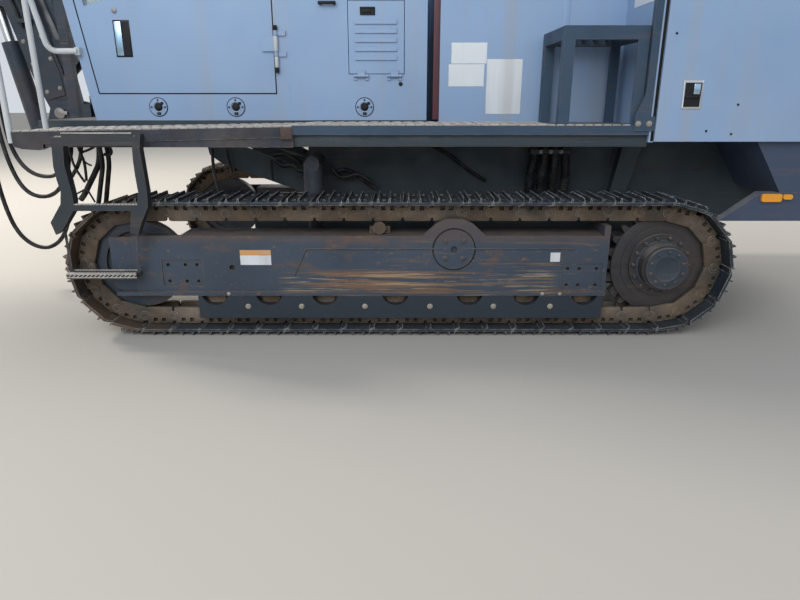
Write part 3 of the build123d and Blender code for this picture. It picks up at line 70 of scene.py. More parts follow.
class Finish:
    """A material under construction: its nodes, its main shader, and the colour laid down so far."""

    def __init__(self, name, base, roughness=0.5, metallic=0.0):
        self.material = bpy.data.materials.new(name)
        self.material.use_nodes = True
        tree = self.material.node_tree
        self.nodes, self.links = tree.nodes, tree.links
        self.shader = self.nodes["Principled BSDF"]
        self.shader.inputs["Roughness"].default_value = roughness
        self.shader.inputs["Metallic"].default_value = metallic
        self.place = self.node("TexCoord").outputs["Object"]
        self.colour = base

    def node(self, kind, feeds=(), **values):
        """A new node, its inputs fed by sockets or set; an underscore stands for a space in a name."""
        node = self.nodes.new("ShaderNode" + kind)
        for name, value in values.items():
            node.inputs[name.replace("_", " ")].default_value = value
        for name, socket in feeds:
            self.links.new(socket, node.inputs[name])
        return node

    def mottle(self, scale, detail=4.0, stretch=(1, 1, 1), rough=0.55):
        """Noise between 0 and 1 that follows the object; a stretch under 1 draws it out along that axis."""
        place = self.node("Mapping", [("Vector", self.place)], Scale=stretch).outputs["Vector"]
        noise = self.node("TexNoise", [("Vector", place)], Scale=scale, Detail=detail, Roughness=rough)
        return noise.outputs["Fac"]

    def step(self, value, low, high, out_low=0.0, out_high=1.0):
        """The value spread from one range over another and held inside it."""
        spread = self.node(
            "MapRange", [("Value", value)], From_Min=low, From_Max=high, To_Min=out_low, To_Max=out_high)
        return spread.outputs["Result"]

    def patches(self, scale, detail, low, high, out_low=0.0, out_high=1.0, stretch=(1, 1, 1), rough=0.55):
        """Mottle hardened into patches."""
        return self.step(self.mottle(scale, detail, stretch, rough), low, high, out_low, out_high)

    def times(self, share, by):
        """A share times another, or times a number."""
        node = self.node("Math", [(0, share)])
        node.operation = "MULTIPLY"
        if isinstance(by, float):
            node.inputs[1].default_value = by
        else:
            self.links.new(by, node.inputs[1])
        return node.outputs["Value"]

    def lay(self, share, top):
        """A colour laid over what is there, where the share is high."""
        node = self.node("Mix")
        node.data_type = "RGBA"
        self.links.new(share, node.inputs["Factor"])
        for socket, colour in ((node.inputs[6], self.colour), (node.inputs[7], top)):
            if isinstance(colour, tuple):
                socket.default_value = (*colour, 1.0)
            else:
                self.links.new(colour, socket)
        self.colour = node.outputs[2]

    def edges(self, width):
        """High near sharp edges, where paint wears off."""
        bevel = self.node("Bevel", Radius=width)
        bevel.samples = 4
        flat = self.node("NewGeometry")
        dot = self.node("VectorMath", [(0, bevel.outputs["Normal"]), (1, flat.outputs["Normal"])])
        dot.operation = "DOT_PRODUCT"
        return self.step(dot.outputs["Value"], 0.98, 0.80)

    def along(self, axis, vector):
        return self.node("SeparateXYZ", [("Vector", vector)]).outputs[axis]

    def band(self, axis, low, high, soft):
        """1 between two places along an axis, fading over a soft edge outside them."""
        value = self.along(axis, self.place)
        return self.times(self.step(value, low - soft, low), self.step(value, high, high + soft, 1.0, 0.0))

    def upward(self):
        """High where the face looks up."""
        return self.step(self.along("Z", self.node("NewGeometry").outputs["Normal"]), 0.3, 0.9)

    def height(self, low, high):
        """1 below the low height and 0 above the high one."""
        return self.step(self.along("Z", self.place), low, high, 1.0, 0.0)

    def bump(self, height, depth):
        node = self.node("Bump", [("Height", height)], Distance=depth)
        self.links.new(node.outputs["Normal"], self.shader.inputs["Normal"])

    def rough(self, socket):
        self.links.new(socket, self.shader.inputs["Roughness"])

    def done(self):
        self.links.new(self.colour, self.shader.inputs["Base Color"])
        return self.material


DUST = (0.36, 0.33, 0.29)


def panel_paint(name, paint, shade):
    """Sheet steel panels in semi-gloss paint, with rain streaks, dust low down and a little edge wear."""
    f = Finish(name, paint, roughness=0.42)
    f.lay(f.patches(1.3, 3.0, 0.35, 0.7), shade)
    f.lay(f.times(f.patches(9.0, 5.0, 0.52, 0.72, stretch=(1, 1, 0.06)), 0.35), DUST)
    f.lay(f.times(f.height(1.15, 1.75), f.patches(3.5, 5.0, 0.4, 0.75, 0.0, 0.25)), DUST)
    f.lay(f.times(f.upward(), f.patches(6.0, 5.0, 0.3, 0.7, 0.25, 0.8)), DUST)
    f.lay(f.times(f.edges(0.004), f.patches(14.0, 6.0, 0.5, 0.62, 0.0, 0.75)), (0.10, 0.075, 0.06))
    f.rough(f.patches(5.0, 4.0, 0.3, 0.7, 0.34, 0.58))
    f.bump(f.mottle(2.2, 2.0), 0.0025)
    return f.done()


def plate_grain(f):
    """The uneven gloss and small pits of painted heavy plate."""
    f.rough(f.patches(6.0, 5.0, 0.3, 0.7, 0.42, 0.75))
    f.bump(f.mottle(30.0, 5.0), 0.0015)
    return f.done()


def frame_paint(name, paint, shade, rust, scraped=1.0):
    """Heavy plate in dark paint, scraped lengthways down to rust, with dust on what faces up."""
    f = Finish(name, paint)
    f.lay(f.patches(2.1, 4.0, 0.3, 0.72), shade)
    rusty = f.patches(3.1, 7.0, 0.52, 0.68, stretch=(0.35, 1, 1), rough=0.62)
    f.lay(f.times(rusty, 0.55 * scraped), tuple(0.45 * r + 0.3 * p for r, p in zip(rust, paint)))
    where = f.patches(1.7, 3.0, 0.44, 0.6, stretch=(0.5, 1, 1.6))
    for scale, low, strength in ((26.0, 0.56, 0.75), (60.0, 0.6, 0.6)):
        scrape = f.patches(scale, 8.0, low, low + 0.05, stretch=(0.035, 1, 1.5), rough=0.62)
        f.lay(f.times(f.times(scrape, where), strength * scraped), rust)
    bright = f.patches(44.0, 6.0, 0.635, 0.67, stretch=(0.05, 1, 1.3), rough=0.6)
    f.lay(f.times(f.times(bright, where), 0.4 * scraped), (0.42, 0.36, 0.28))
    f.lay(f.times(f.patches(38.0, 6.0, 0.66, 0.70, rough=0.65), 0.5 * scraped), rust)
    f.lay(f.times(f.edges(0.006), f.patches(17.0, 6.0, 0.44, 0.58, 0.0, 0.85)), rust)
    f.lay(f.times(f.patches(4.2, 6.0, 0.42, 0.8, 0.0, 0.08), f.height(0.1, 1.6)), DUST)
    f.lay(f.times(f.upward(), f.patches(8.0, 6.0, 0.25, 0.65, 0.1, 0.6)), DUST)
    return plate_grain(f)


def side_frame_paint(name, paint, shade, rust, pale):
    """A track frame's side: rusty steel in a band low down, purple-brown at its top, and its skirt darkened
    with painted shade.
    """
    f = Finish(name, paint)
    f.lay(f.patches(2.3, 5.0, 0.32, 0.7), shade)
    top = f.patches(5.0, 7.0, 0.34, 0.6, 0.2, 0.85, stretch=(0.4, 1, 1))
    f.lay(f.times(f.band("Z", 0.585, 0.75, 0.04), top), (0.085, 0.06, 0.055))
    brown = f.patches(6.0, 8.0, 0.56, 0.64, stretch=(0.5, 1, 1), rough=0.68)
    f.lay(f.times(f.times(brown, f.band("Z", 0.26, 0.62, 0.02)), 0.6), (0.125, 0.07, 0.045))
    f.lay(f.times(f.patches(30.0, 8.0, 0.61, 0.65, stretch=(0.6, 1, 1), rough=0.7), 0.6), rust)
    rubbed = f.times(f.band("Z", 0.262, 0.372, 0.035), f.band("X", 0.60, 2.12, 0.08))
    middle = f.times(f.band("Z", 0.36, 0.56, 0.03), f.band("X", 0.45, 2.35, 0.1))
    for scale, low, share, where, tint in (
        (24.0, 0.52, 0.7, rubbed, rust), (46.0, 0.545, 0.6, rubbed, pale), (30.0, 0.60, 0.5, middle, rust),
        (60.0, 0.635, 0.4, middle, pale),
    ):
        scrape = f.patches(scale, 8.0, low, low + 0.06, stretch=(0.045, 1, 1.4), rough=0.64)
        f.lay(f.times(f.times(scrape, where), share), tint)
    f.lay(f.times(f.edges(0.006), f.patches(17.0, 6.0, 0.42, 0.56, 0.0, 0.9)), rust)
    f.lay(f.times(f.upward(), f.patches(8.0, 6.0, 0.25, 0.65, 0.2, 0.75)), (0.17, 0.13, 0.105))
    # painted shade: the skirt below this height is darkened, as it lies in shadow
    f.lay(f.times(f.band("Z", 0.0, 0.236, 0.008), 0.8), (0.012, 0.018, 0.026))
    return plate_grain(f)


def bare_steel(name, dark, rust, dust, shine, rubbed=0.004, muddy=False):
    """Unpainted wearing steel: dark rust, dry dust in the hollows, and polished edges where it rubs."""
    f = Finish(name, dark, roughness=0.7, metallic=0.35)
    f.lay(f.patches(7.0, 7.0, 0.36, 0.66, rough=0.62), rust)
    f.lay(f.patches(3.0, 6.0, 0.48, 0.74, 0.0, 0.8), dust)
    f.lay(f.times(f.upward(), f.patches(14.0, 5.0, 0.3, 0.7, 0.2, 0.8)), dust)
    if muddy:
        front_end = f.band("X", -1.2, -0.28, 0.2)
        f.lay(f.times(front_end, f.patches(5.0, 6.0, 0.3, 0.6, 0.25, 0.9)), (0.13, 0.082, 0.05))
    f.lay(f.times(f.edges(rubbed), f.patches(22.0, 5.0, 0.38, 0.56, 0.1, 0.9)), shine)
    f.rough(f.patches(9.0, 5.0, 0.3, 0.7, 0.5, 0.92))
    f.bump(f.mottle(55.0, 6.0), 0.0025)
    return f.done()


def rubber(name, colour, dust=DUST, sheen=0.4):
    f = Finish(name, colour, roughness=sheen)
    f.shader.inputs["Specular IOR Level"].default_value = 0.25
    f.bump(f.mottle(160.0, 3.0), 0.0004)
    f.lay(f.patches(12.0, 5.0, 0.45, 0.8, 0.0, 0.16), dust)
    return f.done()


def plain_metal(name, colour, roughness, smear):
    f = Finish(name, colour, roughness=roughness, metallic=1.0)
    f.rough(f.patches(18.0, 4.0, 0.3, 0.7, roughness, roughness + smear, stretch=(0.3, 1, 1)))
    f.lay(f.patches(5.0, 5.0, 0.5, 0.8, 0.0, 0.35), tuple(c * 0.45 for c in colour))
    return f.done()


def clear_glass(name, tint):
    f = Finish(name, tint, roughness=0.03)
    f.shader.inputs["Transmission Weight"].default_value = 0.85
    f.shader.inputs["IOR"].default_value = 1.3
    f.lay(f.patches(4.0, 5.0, 0.4, 0.8, 0.0, 0.25), (0.42, 0.41, 0.38))
    return f.done()


def woven_cloth(name, colour, light):
    f = Finish(name, colour, roughness=0.9)
    weave = f.mottle(260.0, 2.0)
    f.bump(weave, 0.0012)
    f.lay(f.step(weave, 0.4, 0.62), light)
    return f.done()


def moulded_plastic(name, colour, dust=DUST):
    f = Finish(name, colour, roughness=0.55)
    f.shader.inputs["Specular IOR Level"].default_value = 0.25
    f.bump(f.mottle(140.0, 3.0), 0.0006)
    f.lay(f.patches(7.0, 5.0, 0.5, 0.8, 0.0, 0.12), dust)
    return f.done()


# Painted sheet: paint, shade
panel_grey = panel_paint("panel_grey", (0.275, 0.39, 0.57), (0.235, 0.345, 0.52))
rail_paint = panel_paint("rail_grey", (0.6, 0.62, 0.64), (0.52, 0.54, 0.56))
plate_white = panel_paint("plate_white", (0.74, 0.76, 0.78), (0.66, 0.68, 0.7))
plate_orange = panel_paint("plate_orange", (0.75, 0.33, 0.06), (0.6, 0.26, 0.06))

# Painted plate: paint, shade, rust, how strongly it is scraped
RUST, DARK_RUST = (0.2, 0.1, 0.05), (0.16, 0.08, 0.04)
frame_blue = frame_paint("frame_blue", (0.028, 0.042, 0.062), (0.019, 0.029, 0.045), (0.2, 0.105, 0.05), 0.55)
deck_blue = frame_paint("deck_blue", (0.028, 0.062, 0.104), (0.022, 0.048, 0.084), RUST, 0.3)
deck_shade = frame_paint("deck_shade", (0.030, 0.045, 0.056), (0.022, 0.036, 0.047), DARK_RUST, 0.25)
ladder_paint = frame_paint("ladder_paint", (0.017, 0.026, 0.034), (0.013, 0.02, 0.027), DARK_RUST, 0.3)
# the lower tank's panel paint, darkened as painted shade because that panel lies in shadow
tank_shaded_paint = frame_paint("tank_shaded_paint", (0.045, 0.07, 0.12), (0.038, 0.06, 0.105), RUST, 0.25)
drive_paint = frame_paint(
    "drive_paint", (0.022, 0.024, 0.03), (0.036, 0.028, 0.026), (0.12, 0.07, 0.045), 0.5)
rust_red = frame_paint("rust_red", (0.105, 0.035, 0.042), (0.085, 0.028, 0.034), (0.16, 0.06, 0.04), 0.4)
rust_brown = frame_paint("rust_brown", (0.075, 0.042, 0.033), (0.05, 0.032, 0.028), (0.15, 0.08, 0.05), 0.6)
engine_iron = frame_paint("engine_iron", (0.1, 0.11, 0.12), (0.07, 0.08, 0.09), RUST)
side_frame = side_frame_paint(
    "side_frame", (0.043, 0.062, 0.088), (0.031, 0.045, 0.066), (0.21, 0.11, 0.05), (0.40, 0.29, 0.17))

# Bare steel: dark, rust, dust, shine
track_steel = bare_steel(
    "track_steel", (0.07, 0.058, 0.048), (0.15, 0.1, 0.062), (0.25, 0.2, 0.15), (0.42, 0.38, 0.32))
shoe_steel = bare_steel(
    "shoe_steel", (0.016, 0.027, 0.041), (0.03, 0.037, 0.046), (0.045, 0.048, 0.05), (0.5, 0.49, 0.46),
    rubbed=0.007, muddy=True)
grating_steel = bare_steel(
    "grating_steel", (0.038, 0.048, 0.062), (0.062, 0.05, 0.05), (0.10, 0.085, 0.078), (0.36, 0.33, 0.31))
exhaust_steel = bare_steel("exhaust_steel", (0.05, 0.045, 0.04), RUST, (0.3, 0.2, 0.13), (0.3, 0.26, 0.22))
# worn steel brightened as painted sun glints, on the teeth, rails and trims of the steps and the grating
worn_steel_painted_glint = bare_steel(
    "worn_steel_painted_glint", (0.28, 0.26, 0.24), (0.42, 0.37, 0.32), (0.56, 0.52, 0.47), (0.85, 0.84, 0.8))
zinc_worn = bare_steel(
    "zinc_worn", (0.3, 0.28, 0.24), (0.36, 0.31, 0.24), (0.34, 0.31, 0.27), (0.62, 0.6, 0.55))

hose_rubber = rubber("hose_rubber", (0.012, 0.012, 0.014))
seal_black = rubber("seal_black", (0.004, 0.004, 0.005), (0.03, 0.03, 0.03), 0.3)
rod_chrome = plain_metal("rod_chrome", (0.7, 0.71, 0.73), 0.12, 0.15)
rod_steel = plain_metal("drill_rod_steel", (0.3, 0.28, 0.27), 0.35, 0.3)
# chrome tinted sky-blue: a painted reflection of the sky, on the latches' pads
latch_chrome_painted_sky = plain_metal("latch_chrome_painted_sky", (0.45, 0.66, 0.85), 0.18, 0.12)
pane_glass = clear_glass("glass_pane", (0.75, 0.85, 0.88))
lamp_glass = clear_glass("lamp_glass", (0.85, 0.88, 0.9))
seat_cloth = woven_cloth("seat_cloth", (0.02, 0.02, 0.024), (0.06, 0.06, 0.07))
dark_plastic = moulded_plastic("dark_plastic", (0.010, 0.010, 0.012), (0.08, 0.08, 0.08))
cooler_black = moulded_plastic("cooler_black", (0.018, 0.018, 0.02))
amber_lens = moulded_plastic("amber_lens", (0.8, 0.33, 0.03), (0.55, 0.3, 0.12))


def own_name(finish):
    """Its name without the number it gets where the part has a material of the same name."""
    return finish.name.split(".")[0]


FINISH_OF_SLOT = {
    own_name(finish): finish for finish in (
        panel_grey, frame_blue, track_steel, grating_steel, rail_paint, hose_rubber, rod_chrome, rod_steel,
        pane_glass, seat_cloth, dark_plastic, engine_iron, cooler_black, exhaust_steel, amber_lens,
    )
}
# Pieces whose paint differs from the rest of their slot
FINISH_OF_NODE = {
    "ladder": ladder_paint, "idler_left": frame_blue, "idler_right": frame_blue,
    "sprocket_left": drive_paint, "sprocket_right": drive_paint,
    "walkway": deck_blue, "step_box": deck_blue, "chassis": deck_shade, "lower_tank": tank_shaded_paint,
    "track_frame_left": side_frame, "track_frame_right": side_frame,
}
for part in frame["record"]["subparts"]:
    node = frame["nodes"][part["node"]]
    for slot in node.material_slots:
        slot.material = FINISH_OF_NODE.get(part["node"], FINISH_OF_SLOT[part["material_slot"]])


# Camera, at the photograph's place and angle

camera = bpy.data.objects.new("camera", bpy.data.cameras.new("camera"))
bpy.context.collection.objects.link(camera)
camera.data.lens = 27.9
camera.data.sensor_width = 36.0
camera.data.clip_end = 100.0
camera.location = at(0.0, -4.69, 1.36)
camera.rotation_euler = (math.radians(72.0), 0.0, 0.0)
bpy.context.scene.camera = camera


# Free hoses at the front

# columns: X, Y, Z in millimetres, the same points as the solids' own
HOSE_POINTS = {
    "hose_long": [
        (-2935, -120, 2820), (-2935, -120, 2640), (-2922, -116, 2330), (-2946, -120, 1900), (-2934, -115, 1470),
        (-2950, -112, 1040), (-2930, -118, 640), (-2850, -125, 370), (-2670, -132, 270), (-2500, -140, 370),
        (-2410, -148, 640), (-2400, -150, 860), (-2400, -150, 1080),
    ],
    "hose_middle": [
        (-2900, -60, 2820), (-2900, -60, 2640), (-2888, -58, 2330), (-2908, -62, 1900), (-2896, -66, 1480),
        (-2885, -72, 1050), (-2820, -78, 780), (-2720, -84, 670), (-2570, -88, 670), (-2460, -90, 780),
        (-2400, -90, 920), (-2400, -90, 1080),
    ],
    "hose_short": [
        (-2880, 0, 2820), (-2880, 0, 2640), (-2868, 2, 2330), (-2886, -1, 1900), (-2872, -6, 1480),
        (-2880, -12, 1180), (-2840, -18, 960), (-2740, -26, 830), (-2590, -32, 800), (-2470, -36, 870),
        (-2400, -36, 980), (-2400, -36, 1080),
    ],
}


def tube_through(name, route, radius, sides, steps):
    """A round tube along a smooth line through X, Y, Z places, which it follows but doesn't touch."""
    curve = bpy.data.curves.new(name, "CURVE")
    curve.dimensions = "3D"
    curve.bevel_depth = radius
    curve.bevel_resolution = sides
    curve.resolution_u = steps
    spline = curve.splines.new("NURBS")
    spline.points.add(len(route) - 1)
    for point, place in zip(spline.points, route):
        point.co = (*at(*place), 1.0)
    spline.order_u = 3
    spline.use_endpoint_u = True
    tube = bpy.data.objects.new(name, curve)
    bpy.context.collection.objects.link(tube)
    return tube


def free_hose(node):
    """A hose through the air, from its upper fitting round to its lower one."""
    route = [(x / 1000, y / 1000, z / 1000) for x, y, z in HOSE_POINTS[node]]
    hose = tube_through(node + "_line", route, 0.015, 4, 10)
    hose.data.materials.append(hose_rubber)
    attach(hose, "machine")
    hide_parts(node)


for hose_node in HOSE_POINTS:
    free_hose(hose_node)


# Making pieces


def nothing_selected():
    bpy.ops.object.select_all(action="DESELECT")


def only(piece):
    nothing_selected()
    piece.select_set(True)
    bpy.context.view_layer.objects.active = piece


def placed(piece):
    """Puts the piece's place and turn into its mesh."""
    only(piece)
    bpy.ops.object.transform_apply(location=True, rotation=True, scale=True)
    return piece


def softened(piece, width, segments=2):
    """Its sharp edges broken, as on real steel."""
    only(piece)
    bevel = piece.modifiers.new("edge", "BEVEL")
    bevel.width = width
    bevel.segments = segments
    bevel.limit_method = "ANGLE"
    bevel.angle_limit = math.radians(32)
    bpy.ops.object.modifier_apply(modifier="edge")
    return piece


def slab(x0, x1, y0, y1, z0, z1, edge=0.002, segments=2):
    """A flat or square piece with broken edges, between places given in either order."""
    nothing_selected()
    bpy.ops.mesh.primitive_cube_add(size=1.0, location=at((x0 + x1) / 2, (y0 + y1) / 2, (z0 + z1) / 2))
    piece = bpy.context.object
    piece.scale = (abs(x1 - x0), abs(y1 - y0), abs(z1 - z0))
    return softened(placed(piece), edge, segments)


TURN = {"Y": (math.pi / 2, 0, 0), "Z": (0, 0, 0)}


def drum(x, y, z, axis, radius, depth, sides=24, edge=0.002):
    """A round piece with broken rims, its middle at x, y, z."""
    nothing_selected()
    bpy.ops.mesh.primitive_cylinder_add(
        vertices=sides, radius=radius, depth=depth, location=at(x, y, z), rotation=TURN[axis])
    return softened(placed(bpy.context.object), edge)


def outline_plate(points, y0, y1, edge=0.002):
    """An upright plate of X and Z corners between two Y, with broken edges."""
    y0, y1 = sorted((y0, y1))
    mesh = bpy.data.meshes.new("plate")
    piece = bpy.data.objects.new("plate", mesh)
    bpy.context.collection.objects.link(piece)
    only(piece)
    bpy.ops.object.mode_set(mode="EDIT")
    shape = bmesh.from_edit_mesh(mesh)
    shape.faces.new([shape.verts.new(at(x, y0, z)) for x, z in points])
    bmesh.update_edit_mesh(mesh)
    bpy.ops.mesh.select_all(action="SELECT")
    bpy.ops.mesh.extrude_region_move(TRANSFORM_OT_translate={"value": (0, y1 - y0, 0)})
    bpy.ops.mesh.select_all(action="SELECT")
    bpy.ops.mesh.normals_make_consistent(inside=False)
    bpy.ops.object.mode_set(mode="OBJECT")
    return softened(piece, edge, 1)


def together(pieces):
    """Several meshes made one."""
    nothing_selected()
    for piece in pieces:
        piece.select_set(True)
    bpy.context.view_layer.objects.active = pieces[0]
    if len(pieces) > 1:
        bpy.ops.object.join()
    return pieces[0]


def copied(pattern, places):
    """The pattern copied to each place, a matrix each, and made one mesh; the pattern goes."""
    twins = []
    for place in places:
        twin = pattern.copy()
        twin.data = pattern.data.copy()
        bpy.context.collection.objects.link(twin)
        twin.matrix_world = place
        twins.append(twin)
    bpy.data.objects.remove(pattern)
    return placed(together(twins))


def finished(pieces, name, finish, body="machine", angle=35):
    """One or several meshes made one, named, painted, smoothed over soft edges, and carried by a body."""
    piece = placed(together(pieces if isinstance(pieces, list) else [pieces]))
    bpy.ops.object.shade_smooth_by_angle(angle=math.radians(angle))
    piece.name = name
    piece.data.name = name
    piece.data.materials.clear()
    piece.data.materials.append(finish)
    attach(piece, body)
    return piece


def edit_faces(piece, wanted):
    """Edit mode, with only the faces selected whose middle and normal are wanted."""
    only(piece)
    bpy.ops.object.mode_set(mode="EDIT")
    bpy.ops.mesh.select_mode(type="FACE")
    bpy.ops.mesh.select_all(action="DESELECT")
    mesh = bmesh.from_edit_mesh(piece.data)
    for face in mesh.faces:
        face.select = wanted(face.calc_center_median(), face.normal)
    bmesh.update_edit_mesh(piece.data)


def edit_done():
    bpy.ops.mesh.select_all(action="DESELECT")
    bpy.ops.object.mode_set(mode="OBJECT")


def cut_across(piece, axis, places):
    """Cuts the piece's faces by planes across an axis, with nothing taken away."""
    only(piece)
    bpy.ops.object.mode_set(mode="EDIT")
    for place in places:
        bpy.ops.mesh.select_all(action="SELECT")
        bpy.ops.mesh.bisect(plane_co=place * WAYS[axis], plane_no=WAYS[axis])
    edit_done()


def facing(way, past=None, near=None, reach=0.02):
    """Picks faces that look one way, those that stand out past a measure, or those near a place."""
    out = WAYS[way]
    return lambda c, n: (
        n.dot(out) > 0.9 and (past is None or c.dot(out) > past)
        and (near is None or (c - at(*near)).length < reach))


def sunk(piece, wanted, move=(0, 0, 0), shrink=1.0):
    """Faces inset a little and pushed in or out by a move."""
    edit_faces(piece, wanted)
    bpy.ops.mesh.extrude_region_move(TRANSFORM_OT_translate={"value": move})
    if shrink != 1.0:
        mesh = bmesh.from_edit_mesh(piece.data)
        chosen = [f.calc_center_median() for f in mesh.faces if f.select]
        middle = sum(chosen, Vector()) / len(chosen)
        bpy.ops.transform.resize(value=(shrink, shrink, shrink), center_override=middle)
    edit_done()


# Track chains and shoes

WHEEL_X = 1.5585
WHEEL_R = 0.317804
TRACK_LINKS = 48
LINK_HALF = 0.054
SHOE_FACE = 0.072
RIB_HIGH = 0.022
PITCH_HEIGHT = WHEEL_R + LINK_HALF + 0.013 + 0.028
TRACK_Y = 1.030
PIN_BACK = 0.0857


def pin_place(index):
    """A chain pin's X and Z on its loop, counted from the front end of the lower run."""
    loop = 4 * WHEEL_X + 2 * math.pi * WHEEL_R
    along = (index % TRACK_LINKS) * loop / TRACK_LINKS
    if along < 2 * WHEEL_X:
        return -WHEEL_X + along, PITCH_HEIGHT - WHEEL_R
    along -= 2 * WHEEL_X
    if along < math.pi * WHEEL_R:
        turn = along / WHEEL_R
        return WHEEL_X + WHEEL_R * math.sin(turn), PITCH_HEIGHT - WHEEL_R * math.cos(turn)
    along -= math.pi * WHEEL_R
    if along < 2 * WHEEL_X:
        return WHEEL_X - along, PITCH_HEIGHT + WHEEL_R
    turn = (along - 2 * WHEEL_X) / WHEEL_R
    return -WHEEL_X - WHEEL_R * math.sin(turn), PITCH_HEIGHT + WHEEL_R * math.cos(turn)


def shoe_pattern():
    """A broad shoe at the origin: its tail slides under the next shoe, its lip curls up to a hooked rib."""
    shoe = slab(ORIGIN_X - 0.074, ORIGIN_X + 0.088, -0.17, 0.17, LINK_HALF, SHOE_FACE, 0.002, 1)
    cut_across(shoe, "X", (-0.019, -0.005, 0.046, 0.060))
    for middle in (-0.012, 0.053):
        rib = (lambda c, n, m=middle: n.z > 0.9 and c.z > SHOE_FACE - 0.001 and abs(c.x - m) < 0.006)
        sunk(shoe, rib, (-0.002, 0, RIB_HIGH))
        edit_faces(shoe, lambda c, n, m=middle: n.z > 0.9 and c.z > SHOE_FACE + 0.01 and abs(c.x - m) < 0.009)
        top = (middle - 0.002, 0, SHOE_FACE + RIB_HIGH)
        bpy.ops.transform.resize(value=(0.5, 0.985, 1), center_override=top)
        edit_done()
    sunk(shoe, lambda c, n: n.x < -0.9 and c.x < -0.073 and c.z < SHOE_FACE, (-0.012, 0, 0.012))
    lip = (lambda c, n: n.x < -0.5 and c.x < -0.084 and c.z < SHOE_FACE + 0.012)
    sunk(shoe, lip, (-0.006, 0, 0.013), 0.75)
    sunk(shoe, facing("X", 0.087), (0.030, 0, -0.014), 0.9)
    heads = [
        drum(ORIGIN_X + x, y, SHOE_FACE + 0.004, "Z", 0.012, 0.009, 6, 0.002)
        for x in (-0.040, 0.022) for y in (-0.10, 0.10)
    ]
    return together([shoe] + heads)


def link_pattern():
    """A pair of side links at the origin, each with two bolt pockets by the shoe and a pin's end."""
    pocket_x = ((-0.040, -0.012), (0.012, 0.040))
    pocket_z = (0.012, 0.042)
    parts = []
    for side, _, way in SIDES:
        link = slab(
            ORIGIN_X - 0.083, ORIGIN_X + 0.083, side * 0.045, side * 0.079, -LINK_HALF, LINK_HALF, 0.016, 2)
        cut_across(link, "X", [x for pair in pocket_x for x in pair])
        cut_across(link, "Z", pocket_z)
        for low, high in pocket_x:
            pocket = (lambda c, n, a=low, b=high, s=side:
                      n.y * s > 0.9 and a < c.x < b and pocket_z[0] < c.z < pocket_z[1])
            sunk(link, pocket, (0, -side * 0.028, 0), 0.85)
        pin = drum(ORIGIN_X - PIN_BACK, side * 0.077, 0, "Y", 0.030, 0.012, 14, 0.002)
        sunk(pin, facing(way, 0.08), shrink=0.55)
        end = (ORIGIN_X - PIN_BACK, side * 0.083, 0)
        sunk(pin, facing(way, near=end, reach=0.012), (0, -side * 0.005, 0))
        parts += [link, pin]
    return together(parts)


def track_places(side):
    places = []
    for index in range(TRACK_LINKS):
        x0, z0 = pin_place(index)
        x1, z1 = pin_place(index + 1)
        way = Vector((x1 - x0, 0, z1 - z0)).normalized()
        out = Vector((way.z, 0, -way.x))
        turn = Matrix((way, (0, 1, 0), out)).transposed().to_4x4()
        places.append(Matrix.Translation(at((x0 + x1) / 2, side * TRACK_Y, (z0 + z1) / 2)) @ turn)
    return places


for side, word, _ in SIDES:
    shoes = finished(copied(shoe_pattern(), track_places(side)), "shoes_" + word, shoe_steel)
    finished(copied(link_pattern(), track_places(side)), "links_" + word, track_steel)
    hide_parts("track_" + word)


# Bolts, rivets and plugs


def bolt_head(radius):
    """A hexagon head on its washer, at the origin, facing up."""
    washer = drum(ORIGIN_X, 0, radius * 0.12, "Z", radius * 1.35, radius * 0.24, 14, radius * 0.06)
    head = drum(ORIGIN_X, 0, radius * 0.55, "Z", radius, radius * 0.7, 6, radius * 0.12)
    return together([washer, head])


def screws(name, radius, places, finish=zinc_worn, body="machine"):
    """A set of equal bolts, each place as X, Y, Z and the way that its head faces."""
    spots = []
    for index, (x, y, z, way) in enumerate(places):
        turn = Matrix.Rotation(index * 0.7, 4, "Z")
        facing_out = WAYS["Z"].rotation_difference(WAYS[way]).to_matrix().to_4x4()
        spots.append(Matrix.Translation(at(x, y, z)) @ facing_out @ turn)
    finished(copied(bolt_head(radius), spots), name, finish, body)


def ring_of(x, y, z, radius, count, way, start=0.0):
    """Places round a circle that faces sideways."""
    turns = [start + 2 * math.pi * i / count for i in range(count)]
    return [(x + radius * math.cos(turn), y, z + radius * math.sin(turn), way) for turn in turns]


skirt_bolts, frame_bolts, drive_bolts, ledge_bolts = [], [], [], []
for side, word, way in SIDES:
    skirt_bolts += [(x, side * 1.162, 0.174, way) for x in (-0.91, -0.59, -0.21, 0.18, 0.56, 0.90)]
    frame_bolts += ring_of(0.316, side * 1.154, 0.520, 0.075, 4, way, math.pi / 4)
    drive_bolts += ring_of(WHEEL_X, side * 1.105, PITCH_HEIGHT, 0.164, 14, way)
    drive_bolts += ring_of(WHEEL_X, side * 1.196, PITCH_HEIGHT, 0.098, 10, way, 0.3)
    ledge_bolts += [(x, side * 1.166, 0.254, way) for x in (0.847, 0.951, -1.02)]
    dish = drum(WHEEL_X, side * 1.0675, PITCH_HEIGHT, "Y", 0.290, 0.014, 72, 0.002)
    sunk(dish, facing(way, 1.0735), shrink=0.955)
    middle = (WHEEL_X, side * 1.0745, PITCH_HEIGHT)
    sunk(dish, facing(way, 1.0735, middle, 0.1), (0, -side * 0.009, 0), 0.80)
    finished(dish, "drive_dish_" + word, drive_paint)
    cover = drum(WHEEL_X, side * 1.182, PITCH_HEIGHT, "Y", 0.124, 0.028, 64, 0.004)
    sunk(cover, facing(way, 1.19), shrink=0.62)
    middle = (WHEEL_X, side * 1.196, PITCH_HEIGHT)
    sunk(cover, facing(way, 1.19, middle, 0.05), (0, -side * 0.004, 0), 0.9)
    ring = drum(WHEEL_X, side * 1.0955, PITCH_HEIGHT, "Y", 0.150, 0.010, 64, 0.003)
    finished([cover, ring], "drive_cap_" + word, frame_blue)
